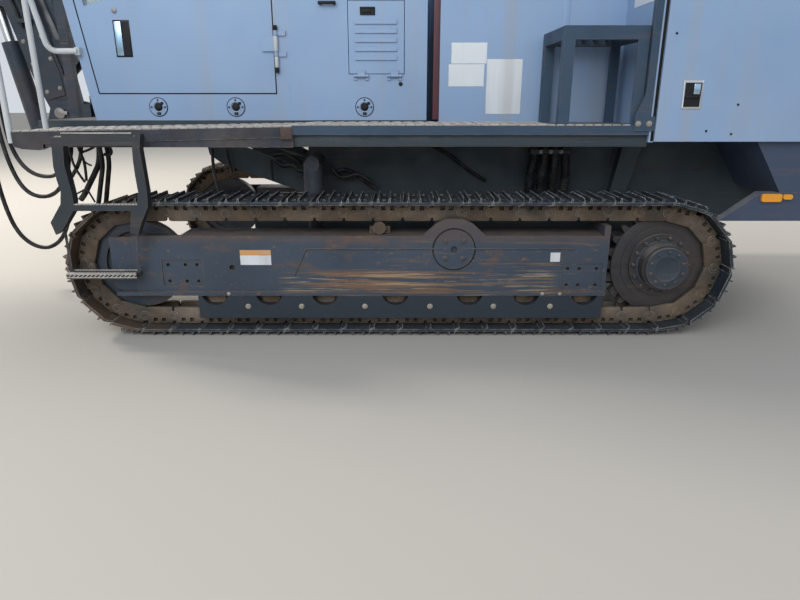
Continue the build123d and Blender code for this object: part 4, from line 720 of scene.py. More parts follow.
screws("track_frame_bolts", 0.0125, frame_bolts, side_frame)
screws("skirt_bolts", 0.0125, skirt_bolts)
screws("drive_bolts", 0.0085, drive_bolts, deck_shade)
screws("ledge_bolts", 0.008, ledge_bolts)
screws("post_bolts", 0.012, [(x, -1.108, 1.226, "-Y") for x in (1.325, 1.385)])

# Round rubber mounts under the cab, each a cupped disc with four bolts, a dark groove round it, and dark pieces
# as painted shade in its hollows
MOUNT_Z = 1.308
mount_cups, mount_grooves_and_shade, mount_bolts = [], [], []
for x in (-1.550, -1.053, -0.227):
    mount_grooves_and_shade.append(drum(x, -0.5205, MOUNT_Z, "Y", 0.060, 0.003, 40, 0.001))
    cup = drum(x, -0.523, MOUNT_Z, "Y", 0.055, 0.008, 40, 0.003)
    sunk(cup, facing("-Y", 0.526), shrink=0.62)
    sunk(cup, facing("-Y", near=(x, -0.527, MOUNT_Z)), (0, 0.005, 0), 0.8)
    mount_cups.append(cup)
    # painted shade: a dark hub in the mount's hole and dark slabs in its two sunk kidneys
    mount_grooves_and_shade.append(drum(x + 0.004, -0.525, 1.306, "Y", 0.016, 0.006, 6, 0.002))
    mount_grooves_and_shade.append(slab(x - 0.012, x + 0.014, -0.530, -0.522, 1.259, 1.277, 0.004))
    mount_grooves_and_shade.append(slab(x + 0.016, x + 0.036, -0.530, -0.522, 1.322, 1.340, 0.005))
    mount_bolts += ring_of(x, -0.527, MOUNT_Z, 0.043, 4, "-Y")
finished(mount_grooves_and_shade, "cab_mount_grooves_and_shade", dark_plastic)
finished(mount_cups, "cab_mount_cups", panel_grey)
screws("cab_mount_bolts", 0.005, mount_bolts, deck_shade)


# Blank plates and labels

FRAME_SIDE, CAB_SIDE = -1.150, -0.520
PLATE_THICK = 0.0015
# columns: name, X from and to, Z from and to, Y of the face that carries it, finish
for name, x0, x1, z0, z1, y, finish in (
    ("frame_label", 0.883, 0.940, 0.446, 0.502, FRAME_SIDE, plate_white),
    ("frame_notice", -0.939, -0.757, 0.427, 0.486, FRAME_SIDE, plate_white),
    ("frame_notice_band", -0.939, -0.757, 0.487, 0.517, FRAME_SIDE, plate_orange),
    ("housing_notice_a", 0.322, 0.545, 1.569, 1.692, CAB_SIDE, plate_white),
    ("housing_notice_c", 0.307, 0.532, 1.433, 1.566, CAB_SIDE, plate_white),
    ("housing_notice_b", 0.548, 0.772, 1.265, 1.596, CAB_SIDE, plate_white),
):
    finished(slab(x0, x1, y - PLATE_THICK, y, z0, z1, 0.0006, 1), name, finish)
front_label = slab(1.3935, 1.395, -0.970, -0.645, 1.87, 2.06, 0.0006, 1)
finished(front_label, "housing_front_label", plate_white)


# Rear side walls of the chassis, between its deep box and the tank, and the rails under it

WALL = [(1.42, 1.122), (1.30, 0.50), (1.84, 0.50), (2.02, 0.60), (2.42, 0.60), (2.42, 0.80), (1.92, 1.122)]
WALL_RIB = [(1.44, 1.122), (1.36, 0.69), (1.46, 0.69), (1.57, 1.122)]
walls = []
for side in (-1, 1):
    walls.append(outline_plate(WALL, side * 0.500, side * 0.528))
    walls.append(outline_plate(WALL_RIB, side * 0.528, side * 0.600))
    walls.append(slab(1.47, 2.06, side * 0.528, side * 0.532, 0.905, 0.913, 0.001))
    walls.append(slab(-1.00, 1.42, side * 0.440, side * 0.470, 0.500, 0.624, 0.006))
finished(walls, "chassis_rear_walls", deck_shade)


# Latches, handles, seals and rivets on the panels

# a small grip on two feet, on the bay behind the cab
GRIP_X, GRIP_HALF = -0.4465, 0.0545
GRIP_LOW, GRIP_HIGH = 1.907, 1.925
grip = [slab(
    GRIP_X - GRIP_HALF, GRIP_X + GRIP_HALF, CAB_SIDE - 0.030, CAB_SIDE - 0.018, GRIP_LOW, GRIP_HIGH, 0.004, 3)]
for foot in (GRIP_X - GRIP_HALF + 0.012, GRIP_X + GRIP_HALF - 0.012):
    grip.append(slab(foot - 0.010, foot + 0.010, CAB_SIDE - 0.022, CAB_SIDE, GRIP_LOW, GRIP_HIGH, 0.003))
finished(grip, "cab_bay_handle", dark_plastic)

vent_latch = slab(-0.246, -0.153, -0.528, -0.520, 1.848, 1.895, 0.004, 3)
sunk(vent_latch, facing("-Y"), shrink=0.8)
sunk(vent_latch, lambda c, n: n.y < -0.9 and abs(c.z - 1.8715) < 0.01, (0, 0.004, 0), 0.9)
vent_grip = slab(-0.232, -0.180, -0.529, -0.522, 1.862, 1.882, 0.003)
finished([vent_latch, vent_grip], "vent_latch", dark_plastic, "vent_door")

# the cab door's latch: a dark rim round a bright half that is gripped and a dark half that is sunk; the
# filler closes the solid's own recess, which is in front of it. The bright half's sky-blue tint is a painted
# reflection
# columns: name, X, Y and Z from and to with the edges' width and steps, finish
for name, sizes, finish in (
    ("door_latch_filler", (-1.812, -1.738, -0.5204, -0.5000, 1.610, 1.810, 0.0002, 1), panel_grey),
    ("door_latch_rim", (-1.775, -1.673, -0.5225, -0.5195, 1.607, 1.821, 0.001), seal_black),
    ("door_latch_pad", (-1.768, -1.7265, -0.5250, -0.5205, 1.615, 1.813, 0.002, 3), latch_chrome_painted_sky),
):
    finished(slab(*sizes), name, finish, "cab_door")
latch_well = slab(-1.7255, -1.680, -0.5240, -0.5205, 1.617, 1.811, 0.0015, 3)
sunk(latch_well, facing("-Y"), shrink=0.85)
finished(latch_well, "door_latch_well", dark_plastic, "cab_door")
lock = drum(-1.756, -0.523, 1.874, "Y", 0.015, 0.010, 20, 0.003)
keyhole = slab(-1.7575, -1.7545, -0.5295, -0.527, 1.866, 1.882, 0.0005)
finished([lock, keyhole], "door_lock", rod_steel, "cab_door")
finished(drum(0.004, -0.522, 1.448, "Y", 0.013, 0.008, 18, 0.003), "bay_plug", dark_plastic)

# dark gaps round the door in the cab's side, whose front edge leans with the windscreen
DOOR_FRONT_LOW, DOOR_FRONT_HIGH = -1.915, -2.117
# columns: X and Z of each thin strip's corners
GAPS = (
    ((-0.791, 1.386), (-0.783, 1.386), (-0.783, 2.766), (-0.791, 2.766)),
    ((DOOR_FRONT_LOW, 1.386), (-0.783, 1.386), (-0.783, 1.394), (DOOR_FRONT_LOW, 1.394)),
    ((DOOR_FRONT_LOW - 0.006, 1.388), (DOOR_FRONT_LOW + 0.002, 1.388),
     (DOOR_FRONT_HIGH + 0.002, 2.762), (DOOR_FRONT_HIGH - 0.006, 2.762)),
)
finished([outline_plate(corners, -0.5206, -0.5190, 0.0003) for corners in GAPS], "door_gaps", seal_black)

# the cab door's hinges: a pale sleeve that turns with the door, a pale barrel below it, and dark ends
HINGE_X, HINGE_Y = -0.772, -0.534
sleeves, barrels, hinge_ends = [], [], []
for z in (1.685, 2.605):
    sleeves.append(drum(HINGE_X, HINGE_Y, z, "Z", 0.0134, 0.086, 20, 0.002))
    barrels.append(drum(HINGE_X, HINGE_Y, z - 0.108, "Z", 0.0124, 0.064, 20, 0.002))
    for middle in (z - 0.156, z + 0.090):
        hinge_ends.append(drum(HINGE_X, HINGE_Y, middle, "Z", 0.0128, 0.030, 20, 0.004))
finished(sleeves, "door_hinge_sleeves", rail_paint, "cab_door")
finished(barrels, "door_hinge_barrels", rail_paint)
finished(hinge_ends, "door_hinge_ends", dark_plastic)

finished(slab(0.209, 0.2495, -0.516, -0.470, 1.230, 2.540, 0.003), "housing_edge_strip", rust_red)
finished(slab(1.002, 1.045, -0.5235, -0.5205, 1.230, 2.540, 0.001), "housing_seam_cover", panel_grey)
for side, word, _ in SIDES:
    seal = slab(1.404, 1.4225, side * 1.1035, side * 1.080, 1.130, 2.498, 0.006, 3)
    finished(seal, "engine_door_seal_" + word, seal_black)
for side, word, way in SIDES:
    face = side * 1.100
    door = "engine_door_" + word
    bezel = slab(1.553, 1.661, face, face + side * 0.0035, 1.304, 1.455, 0.0015)
    sunk(bezel, facing(way, 1.1025), shrink=0.86)
    middle = (1.607, face + side * 0.0035, 1.3795)
    sunk(bezel, facing(way, 1.1025, middle, 0.01), (0, -side * 0.002, 0))
    finished(bezel, "engine_latch_rim_" + word, rod_chrome, door)
    well = slab(1.562, 1.652, face + side * 0.0012, face + side * 0.0022, 1.315, 1.444, 0.0004, 1)
    bar = slab(1.566, 1.648, face, face + side * 0.010, 1.360, 1.376, 0.004)
    finished([well, bar], "engine_latch_well_" + word, dark_plastic, door)
    # the pad's sky-blue tint on its chrome is a painted reflection
    pad = slab(1.610, 1.646, face + side * 0.001, face + side * 0.007, 1.382, 1.438, 0.003)
    finished(pad, "engine_latch_pad_" + word, latch_chrome_painted_sky, door)
    rivets = ((1.479, 1.692), (1.867, 1.328), (1.712, 1.187), (1.854, 1.171), (2.55, 1.187))
    heads = [drum(x, face + side * 0.001, z, "Y", 0.0065, 0.004, 12, 0.001) for x, z in rivets]
    finished(heads, "engine_door_rivets_" + word, dark_plastic, door)


# Serrated steel on the steps and along the grating


def tooth_row(name, start, end, y, height, pitch, across=0.016, lean=0.0):
    """Worn teeth along an edge, from one X and Z to another, painted bright as sun glints."""
    half = 0.42 * pitch
    tooth = slab(ORIGIN_X - half, ORIGIN_X + half, -across / 2, across / 2, -0.001, height, 0.0012, 1)
    edit_faces(tooth, facing("Z"))
    bpy.ops.transform.resize(value=(0.35, 1, 1), center_override=(lean * pitch, 0, height))
    edit_done()
    count = int(math.dist(start, end) / pitch)
    spots = []
    for index in range(count):
        share = (index + 0.5) / count
        x = start[0] + share * (end[0] - start[0])
        z = start[1] + share * (end[1] - start[1])
        spots.append(Matrix.Translation(at(x, y, z)))
    finished(copied(tooth, spots), name, worn_steel_painted_glint)


# columns: name, X and Z of the row's start and end, Y, the teeth's height, pitch, width and lean
for row in (
    ("lower_step_teeth", (-1.912, 0.402), (-1.518, 0.402), -1.252, 0.007, 0.017, 0.014, 0.2),
    ("lower_step_teeth_back", (-1.912, 0.402), (-1.518, 0.402), -1.185, 0.007, 0.017, 0.014, 0.2),
    ("ladder_tread_teeth", (-1.822, 0.799), (-1.448, 0.799), -1.257, 0.007, 0.019, 0.014, 0.2),
    ("grating_teeth_edge", (-2.176, 1.1825), (-0.607, 1.2095), -1.093, 0.009, 0.052, 0.010),
    ("walkway_teeth_edge", (-0.595, 1.2165), (1.290, 1.2165), -1.094, 0.007, 0.052, 0.010),
    ("ladder_top_teeth", (-1.860, 1.163), (-1.440, 1.163), -1.245, 0.006, 0.022, 0.014),
):
    tooth_row(*row)
# worn rows across the tops of the front grating and of the walkway, painted bright as sun glints
for index in range(6):
    y = -1.045 + 0.092 * index
    shift = 0.034 * (index % 2)
    tooth_row("grating_teeth_%02d" % index, (-2.176 + shift, 1.1825), (-0.607, 1.2095), y, 0.006, 0.068, 0.018)
    tooth_row("walkway_teeth_%02d" % index, (-0.590 + shift, 1.2165), (0.870, 1.2165), y, 0.005, 0.068, 0.018)

# the lower step's front rails and slants, and the ladder's top trim, are worn steel painted bright as sun
# glints
step_rails = [slab(-1.918, -1.512, -1.2645, -1.2600, z, z + 0.005, 0.001, 1) for z in (0.3985, 0.3785)]
slant = slab(ORIGIN_X - 0.003, ORIGIN_X + 0.003, -0.002, 0.002, -0.014, 0.014, 0.001, 1)
slants = [
    Matrix.Translation(at(-1.895 + 0.0245 * i, -1.2622, 0.3905)) @ Matrix.Rotation(math.radians(50), 4, "Y")
    for i in range(16)
]
finished(step_rails + [copied(slant, slants)], "lower_step_front", worn_steel_painted_glint)
finished(slab(-1.815, -1.436, -1.268, -1.262, 1.181, 1.187, 0.002), "ladder_top_trim", worn_steel_painted_glint)
finished(slab(-0.668, -0.604, -1.1085, -1.1000, 1.142, 1.206, 0.002), "front_lip_end", rust_brown)
# a dark sheet over the walkway's kick beam: painted shade of the beam's lower face
finished(slab(-0.600, 1.395, -1.0775, -1.0745, 1.100, 1.165, 0.001), "kick_beam_shade_face", deck_shade)


# Seams and ribs on the track frames' sides

for side, word, _ in SIDES:
    inner, outer = side * 1.149, side * 1.156
    seams = [outline_plate([(-0.556, 0.527), (-0.544, 0.527), (-0.622, 0.362), (-0.634, 0.362)], inner, outer)]
    for x0, x1 in ((-0.550, 0.250), (0.385, 1.020)):
        seams.append(slab(x0, x1, inner, outer, 0.521, 0.529, 0.002))
    finished(seams, "track_frame_seams_" + word, side_frame)


# Lamp fronts


def lamp_front(name, x, y, z, way):
    """A ribbed lens with a rim inside the lamp's set-in face."""
    lens = [slab(x, x - way * 0.006, y - 0.052, y + 0.052, z - 0.032, z + 0.032, 0.002)]
    for i in range(10):
        low, high = y - 0.046 + i * 0.0102, y - 0.043 + i * 0.0102
        lens.append(slab(x - way * 0.001, x + way * 0.002, low, high, z - 0.028, z + 0.028, 0.001, 1))
    finished(lens, name, lamp_glass)


LAMPS_LOW = Vector(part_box("work_lamps")[0])
for number, y in enumerate((-0.380, 0.260)):
    lamp_front("roof_lamp_front_%d" % number, LAMPS_LOW.x - TRACK_MIDDLE + 0.0075, y, 3.035, -1)
for number, y in enumerate((-0.900, 0.900)):
    lamp_front("rear_lamp_front_%d" % number, 2.9775, y, 2.695, 1)


# Hoses and cables under the deck, all fixed at both ends


def fixed_line(name, route, radius, body="machine", sides=3):
    """A hose or pipe through X, Y, Z places, made a mesh."""
    line = tube_through(name, route, radius, sides, 6)
    line.data.use_fill_caps = True
    only(line)
    bpy.ops.object.convert(target="MESH")
    finished(bpy.context.object, name, hose_rubber, body, angle=60)


def ribbed_hose(name, route, radius):
    """A thick hose with a protecting spiral: rings along a bent line."""
    ring = drum(ORIGIN_X, 0, 0, "Z", radius * 1.12, radius * 0.34, 12, radius * 0.1)
    spots = []
    for a, b in zip(route, route[1:]):
        a, b = Vector(a), Vector(b)
        count = max(1, int((b - a).length / (radius * 0.62)))
        facing_on = WAYS["Z"].rotation_difference((b - a).normalized()).to_matrix().to_4x4()
        spots += [Matrix.Translation(at(*a.lerp(b, i / count))) @ facing_on for i in range(count)]
    rings = copied(ring, spots)
    fixed_line(name + "_core", route, radius * 0.96)
    finished(rings, name, hose_rubber, angle=50)


# columns: X at the top and at the foot of each thick hose on the chassis side
for number, (top_x, foot_x) in enumerate(((0.868, 0.846), (0.932, 0.918), (0.998, 0.994), (1.062, 1.072))):
    y = -0.588 - 0.012 * (number % 2)
    route = [(top_x, y, 1.082), (top_x, y - 0.01, 1.0), (foot_x, y - 0.014, 0.90), (foot_x, y, 0.780)]
    ribbed_hose("chassis_hose_%d" % number, route, 0.027)
# columns: X, Y and Z from and to, edge
clamp = [slab(*sizes) for sizes in (
    (0.838, 1.094, -0.560, -0.536, 1.050, 1.078, 0.003), (0.838, 1.094, -0.632, -0.624, 1.020, 1.052, 0.003),
    (0.838, 0.846, -0.632, -0.536, 1.020, 1.052, 0.002), (1.086, 1.094, -0.632, -0.536, 1.020, 1.052, 0.002),
)]
finished(clamp, "chassis_hose_clamp", deck_shade)
screws("chassis_clamp_bolts", 0.009, [(x, -0.632, 1.036, "-Y") for x in (0.900, 0.965, 1.030)])
finished(slab(0.683, 0.816, -0.545, -0.537, 1.071, 1.095, 0.002), "chassis_mark", plate_orange)
cable = [(0.203, -0.548, 1.072), (0.330, -0.552, 1.010), (0.455, -0.552, 0.905), (0.565, -0.548, 0.845)]
fixed_line("chassis_cable", cable, 0.011)

# columns: the hose's radius, then X and Z along it, on planes just outside the chassis
UNDER_DECK = (
    (0.0125, ((-2.053, 1.107), (-2.059, 1.032), (-2.101, 0.930), (-2.157, 0.866))),
    (0.008, ((-2.123, 1.085), (-2.123, 0.994), (-2.098, 0.905), (-2.056, 0.840))),
    (0.009, ((-2.060, 1.085), (-2.046, 1.032), (-2.025, 0.956), (-2.035, 0.853))),
    (0.018, ((-1.941, 1.085), (-1.943, 0.981), (-2.005, 0.879), (-2.056, 0.801), (-2.083, 0.755),
             (-2.114, 0.723))),
    (0.008, ((-2.046, 1.032), (-1.977, 1.050), (-1.941, 1.082))),
    (0.006, ((-2.034, 0.981), (-2.010, 0.955), (-1.987, 0.950))),
    (0.006, ((-2.155, 0.755), (-2.105, 0.772), (-2.062, 0.801))),
    (0.006, ((-2.050, 0.795), (-2.030, 0.755), (-2.011, 0.709))),
    (0.015, ((-1.925, 1.085), (-1.905, 0.981), (-1.940, 0.853), (-1.985, 0.680))),
    (0.015, ((-1.895, 1.085), (-1.885, 0.981), (-1.915, 0.853), (-1.955, 0.680))),
    (0.010, ((-1.879, 1.085), (-1.850, 1.045), (-1.869, 1.007), (-1.905, 1.019))),
    (0.010, ((-1.197, 1.085), (-1.205, 0.980), (-1.200, 0.860), (-1.165, 0.755))),
    (0.010, ((-1.120, 1.085), (-1.125, 0.990), (-1.095, 0.900))),
    (0.009, ((-0.830, 0.985), (-0.838, 0.940), (-0.830, 0.850))),
    (0.015, ((-0.803, 0.981), (-0.760, 0.940), (-0.690, 0.960), (-0.640, 0.900), (-0.560, 0.930))),
    (0.015, ((-0.820, 1.010), (-0.744, 1.030), (-0.680, 0.985), (-0.620, 0.930), (-0.600, 0.850))),
    (0.012, ((-0.780, 1.060), (-0.700, 1.020), (-0.620, 1.010), (-0.560, 0.960), (-0.575, 0.880))),
    (0.013, ((-0.455, 0.950), (-0.400, 0.870), (-0.330, 0.880), (-0.261, 0.905), (-0.196, 0.853))),
    (0.012, ((-0.440, 0.890), (-0.380, 0.930), (-0.300, 0.900), (-0.230, 0.840), (-0.160, 0.800))),
)
for number, (radius, line) in enumerate(UNDER_DECK):
    y = -0.580 - 0.022 * (number % 3)
    fixed_line("deck_hose_%d" % number, [(x, y, z) for x, z in line], radius)


# Boom: doublers, bolts, and two hoses in clamps

BOOM_Y = 0.620
BOOM_FOOT = (-2.700, 1.250)
RISE = math.radians(75)


def on_boom(along, across):
    """X and Z of a point along the boom from its foot, and across it towards the front."""
    return (
        BOOM_FOOT[0] - along * math.cos(RISE) - across * math.sin(RISE),
        BOOM_FOOT[1] + along * math.sin(RISE) - across * math.cos(RISE),
    )


# columns: distances along the boom and across it
DOUBLERS = (
    ((0.12, 0.075), (0.30, 0.10), (0.62, 0.10), (0.62, -0.10), (0.30, -0.10), (0.12, -0.075)),
    ((1.16, 0.085), (1.46, 0.062), (1.46, -0.062), (1.16, -0.085)),
)
DOUBLER_BOLTS = ((0.18, 0.055), (0.40, 0.075), (0.57, 0.075), (1.20, 0.060), (1.42, 0.040))
boom_bolts, doublers = [], []
for side, _, way in SIDES:
    face = BOOM_Y + side * 0.110
    outer = face + side * 0.008
    doublers += [outline_plate([on_boom(*corner) for corner in corners], face, outer) for corners in DOUBLERS]
    for along, out in DOUBLER_BOLTS:
        for across in (out, -out):
            x, z = on_boom(along, across)
            boom_bolts.append((x, outer, z, way))
finished(doublers, "boom_doublers", frame_blue, "boom")
screws("boom_bolts", 0.012, boom_bolts, body="boom")
for number, across in enumerate((-0.030, 0.030)):
    places = [on_boom(along, across) for along in (0.66, 0.80, 0.95, 1.08, 1.14)]
    fixed_line("boom_line_%d" % number, [(x, BOOM_Y - 0.128, z) for x, z in places], 0.012, "boom")
boom_clamps = []
for along in (0.70, 0.92, 1.10):
    x, z = on_boom(along, 0)
    boom_clamps.append(
        slab(x - 0.060, x + 0.060, BOOM_Y - 0.144, BOOM_Y - 0.108, z - 0.014, z + 0.014, 0.003))
finished(boom_clamps, "boom_line_clamps", deck_shade, "boom")


# Feed: side ribs, chain along its face, hoses in the tray, bolts at its ends

FEED_FRONT, FEED_REAR = -5.5556, 2.0444
FEED_BACK, FEED_FACE = 3.150, 3.390
ribs, feed_bolts = [], []
for index in range(14):
    x = FEED_FRONT + 0.30 + index * 0.54
    # the near side's ribs start above the hose tray
    for side, low in ((-1, FEED_BACK + 0.150), (1, FEED_BACK + 0.060)):
        near, far = BOOM_Y + side * 0.094, BOOM_Y + side * 0.150
        ribs.append(slab(x - 0.005, x + 0.005, near, far, low, FEED_FACE - 0.052, 0.001, 1))
finished(ribs, "feed_ribs", frame_blue, "feed")
for y in (BOOM_Y - 0.150, BOOM_Y + 0.150):
    feed_bolts += [(FEED_FRONT - 0.040, y, z, "-X") for z in (FEED_BACK + 0.03, FEED_FACE - 0.03)]
    feed_bolts += [(FEED_REAR + 0.030, y, z, "X") for z in (FEED_BACK + 0.04, FEED_FACE)]
screws("feed_end_bolts", 0.014, feed_bolts, body="feed")

CHAIN_PLATE, CHAIN_PITCH, CHAIN_LINKS = 0.024, 0.052, 84
chain_link = [
    slab(ORIGIN_X - CHAIN_PLATE, ORIGIN_X + CHAIN_PLATE, y0, y1, -0.010, 0.010, 0.003, 1)
    for y0, y1 in ((-0.016, -0.011), (0.011, 0.016))
]
chain_link.append(drum(ORIGIN_X - 0.013, 0, 0, "Y", 0.007, 0.020, 8, 0.001))
chain_spots = [
    Matrix.Translation(at(FEED_FRONT + 0.62 + CHAIN_PITCH * i, BOOM_Y, FEED_FACE - 0.010))
    for i in range(CHAIN_LINKS)
]
finished(copied(together(chain_link), chain_spots), "feed_chain", track_steel, "feed")
for number, y in enumerate((0.445, 0.470, 0.495)):
    line = [(x, y, FEED_BACK + 0.103) for x in (FEED_FRONT + 0.95, -3.0, -1.0, 0.6, FEED_REAR - 0.36)]
    fixed_line("feed_tray_line_%d" % number, line, 0.010, "feed", 2)


# Rock drill: side covers, bolts, cooling fins and hose tails

HEAD_FRONT = FEED_REAR - 1.350
head_parts, head_bolts = [], []
for side, _, way in SIDES:
    face = BOOM_Y + side * 0.120
    outer = face + side * 0.010
    for x0, x1 in ((0.10, 0.42), (0.46, 0.66), (0.70, 0.93)):
        cover = slab(HEAD_FRONT + x0, HEAD_FRONT + x1, face, outer, 3.465, 3.690, 0.004)
        sunk(cover, facing(way), shrink=0.88)
        head_parts.append(cover)
        head_bolts += [
            (HEAD_FRONT + x, outer, z, way) for x in (x0 + 0.025, x1 - 0.025) for z in (3.485, 3.670)]
for i in range(5):
    x = HEAD_FRONT + 0.030 * i
    head_parts.append(slab(x + 0.44, x + 0.450, BOOM_Y - 0.09, BOOM_Y + 0.09, 3.718, 3.742, 0.002, 1))
finished(head_parts, "drill_head_covers", engine_iron, "drill_head")
screws("drill_head_bolts", 0.010, head_bolts, body="drill_head")
# columns: X of each tail's fitting on the drill, and Y beside the boom's middle plane
for number, (x, y) in enumerate(((0.30, -0.05), (0.36, 0.05), (0.68, -0.04), (0.74, 0.05))):
    x += HEAD_FRONT
    tail = ((0, y, 3.700), (0, y, 3.760), (0.06, y - 0.04, 3.785), (0.16, -0.135, 3.740),
            (0.20, -0.150, 3.600), (0.20, -0.155, 3.480))
    line = [(x + back, BOOM_Y + across, z) for back, across, z in tail]
    fixed_line("drill_head_hose_%d" % number, line, 0.012, "drill_head")
guide_bolts = [(FEED_FRONT + 0.260, BOOM_Y + y, z, "-X") for y in (-0.115, 0.115) for z in (3.430, 3.680)]
screws("drill_guide_bolts", 0.013, guide_bolts, body="feed")

# skirt strips of the dust hood
STRIP_OUT = 0.192
strips = []
for index in range(15):
    turn = math.radians(index * 12 + 6)
    y, z = BOOM_Y + STRIP_OUT * math.cos(turn), 3.600 + STRIP_OUT * math.sin(turn)
    hung = Matrix.Rotation(turn - math.pi / 2, 4, "X") @ Matrix.Rotation(math.pi / 2, 4, "Y")
    strip = slab(ORIGIN_X - 0.002, ORIGIN_X + 0.002, -0.017, 0.017, -0.085, 0.085, 0.001, 1)
    strips.append(copied(strip, [Matrix.Translation(at(FEED_FRONT + 0.11, y, z)) @ hung]))
finished(strips, "dust_hood_strips", hose_rubber, "feed")


# Right side: tank straps, cap and gauge, dust collector doors, rows of bolts

STRAP_FACE, DOOR_FACE = 1.0845, 1.0895
STRAP_X = (0.30, 1.08)
straps = [slab(x - 0.020, x + 0.020, 1.078, STRAP_FACE, 1.10, 2.12, 0.001, 1) for x in STRAP_X]
straps.append(slab(0.02, 1.36, 1.078, 1.084, 1.63, 1.665, 0.001, 1))
finished(straps, "tank_straps", frame_blue)
gauge = slab(0.645, 0.735, 1.078, 1.088, 1.30, 1.56, 0.004)
sunk(gauge, facing("Y"), shrink=0.72)
sunk(gauge, facing("Y", near=(0.69, 1.088, 1.43), reach=0.01), (0, -0.004, 0))
finished(gauge, "tank_gauge", rod_steel)
cap = drum(0.400, 0.800, 2.198, "Z", 0.078, 0.024, 24, 0.004)
sunk(cap, facing("Z"), shrink=0.7)
sunk(cap, facing("Z", near=(0.400, 0.800, 2.210), reach=0.03), (0, 0, 0.008), 0.9)
finished(cap, "tank_cap", rod_steel)
screws("tank_bolts", 0.010, [(x, STRAP_FACE, z, "Y") for x in STRAP_X for z in (1.13, 1.60, 1.70, 2.09)])
filler = drum(0.95, 0.80, 2.162, "Z", 0.10, 0.024, 28, 0.005)
finished([filler, slab(0.90, 1.00, 0.79, 0.81, 2.172, 2.184, 0.003)], "tank_hatch", frame_blue)

collector = []
for x0, x1 in ((-1.12, -0.72), (-0.68, -0.28)):
    door = slab(x0, x1, 1.078, DOOR_FACE, 1.56, 2.50, 0.003)
    sunk(door, facing("Y"), shrink=0.90)
    sunk(door, facing("Y", near=((x0 + x1) / 2, DOOR_FACE, 2.03)), (0, -0.004, 0), 0.98)
    collector.append(door)
for x in (-1.146, -0.254):
    collector.append(slab(x - 0.010, x + 0.010, 0.56, 1.05, 1.60, 2.46, 0.003))
finished(collector, "collector_doors", panel_grey)
door_edges = [(x, z) for x in (-1.10, -0.74, -0.66, -0.30) for z in (1.60, 1.82, 2.04, 2.26, 2.46)]
screws("collector_bolts", 0.008, [(x, DOOR_FACE, z, "Y") for x, z in door_edges])
pulls = [slab(x - 0.012, x + 0.012, DOOR_FACE, 1.106, 1.96, 2.10, 0.004, 3) for x in (-0.76, -0.64)]
finished(pulls, "collector_handles", dark_plastic)
lid = [slab(-1.16, -0.24, 0.51, 1.09, 2.555, 2.572, 0.004)]
lid += [slab(-1.10, -0.30, y - 0.012, y + 0.012, 2.570, 2.584, 0.003) for y in (0.62, 0.80, 0.98)]
finished(lid, "collector_lid", panel_grey)


# Tops: seam covers, lifting eyes and bolts on the housings and the cab

SEAM_X = (1.80, 2.42)
SEAM_TOP = 2.6245
tops = [slab(x - 0.018, x + 0.018, -1.05, 1.05, 2.619, SEAM_TOP, 0.001, 1) for x in SEAM_X]
tops.append(slab(1.42, 3.02, -0.018, 0.018, 2.619, SEAM_TOP, 0.001, 1))
tops.append(slab(0.80, 0.836, -0.50, 0.46, 2.549, 2.5545, 0.001, 1))
tops.append(slab(-2.15, -0.72, -0.075, -0.045, 2.959, 2.9645, 0.001, 1))
finished(tops, "top_seam_covers", panel_grey)
EYE_Z = 2.6525
eyes = []
for x, y in [(x, y) for x in (1.50, 2.92) for y in (-0.95, 0.95)]:
    eye = slab(x - 0.045, x + 0.045, y - 0.009, y + 0.009, 2.615, 2.690, 0.006, 3)
    sunk(eye, lambda c, n: abs(n.y) > 0.9, shrink=0.45)
    hole = (lambda c, n, m=at(x, 0, 0).x:
            abs(n.y) > 0.9 and abs(c.x - m) < 0.004 and abs(c.z - EYE_Z) < 0.004)
    edit_faces(eye, hole)
    bpy.ops.mesh.bridge_edge_loops()
    edit_done()
    eyes += [eye, slab(x - 0.055, x + 0.055, y - 0.030, y + 0.030, 2.617, 2.627, 0.002)]
finished(eyes, "lifting_eyes", frame_blue)
top_bolts = [(x, y, SEAM_TOP, "Z") for x in SEAM_X for y in (-0.9, -0.6, -0.3, 0.3, 0.6, 0.9)]
top_bolts += [(x, y, 2.960, "Z") for x in (-2.16, -1.75, -1.30, -0.80) for y in (-0.46, 0.34)]
screws("top_bolts", 0.008, top_bolts)

flap = drum(1.800, 0.250, 2.842, "Z", 0.074, 0.006, 24, 0.002)
flap_lug = slab(1.715, 1.735, 0.235, 0.265, 2.835, 2.850, 0.002)
finished([flap, flap_lug], "exhaust_flap", exhaust_steel)
rings = [drum(2.35, -0.25, z, "Z", 0.142, 0.008, 28, 0.002) for z in (2.732, 2.748, 2.764)]
finished(rings, "intake_rings", dark_plastic)


# Rear: uprights of the cooler grille and the bolts beside it

grille = [
    slab(3.040, 3.052, y - 0.012, y + 0.012, 1.31, 2.44, 0.002) for y in (-0.56, -0.28, 0.0, 0.28, 0.56)
]
finished(grille, "cooler_uprights", cooler_black)
rear_bolts = [(3.050, y, z, "X") for y in (-1.05, 1.05) for z in (1.20, 1.50, 1.80, 2.10, 2.40, 2.56)]
screws("rear_bolts", 0.010, rear_bolts)


# In and on the cab: arm rests with levers, head rest, screen, wiper

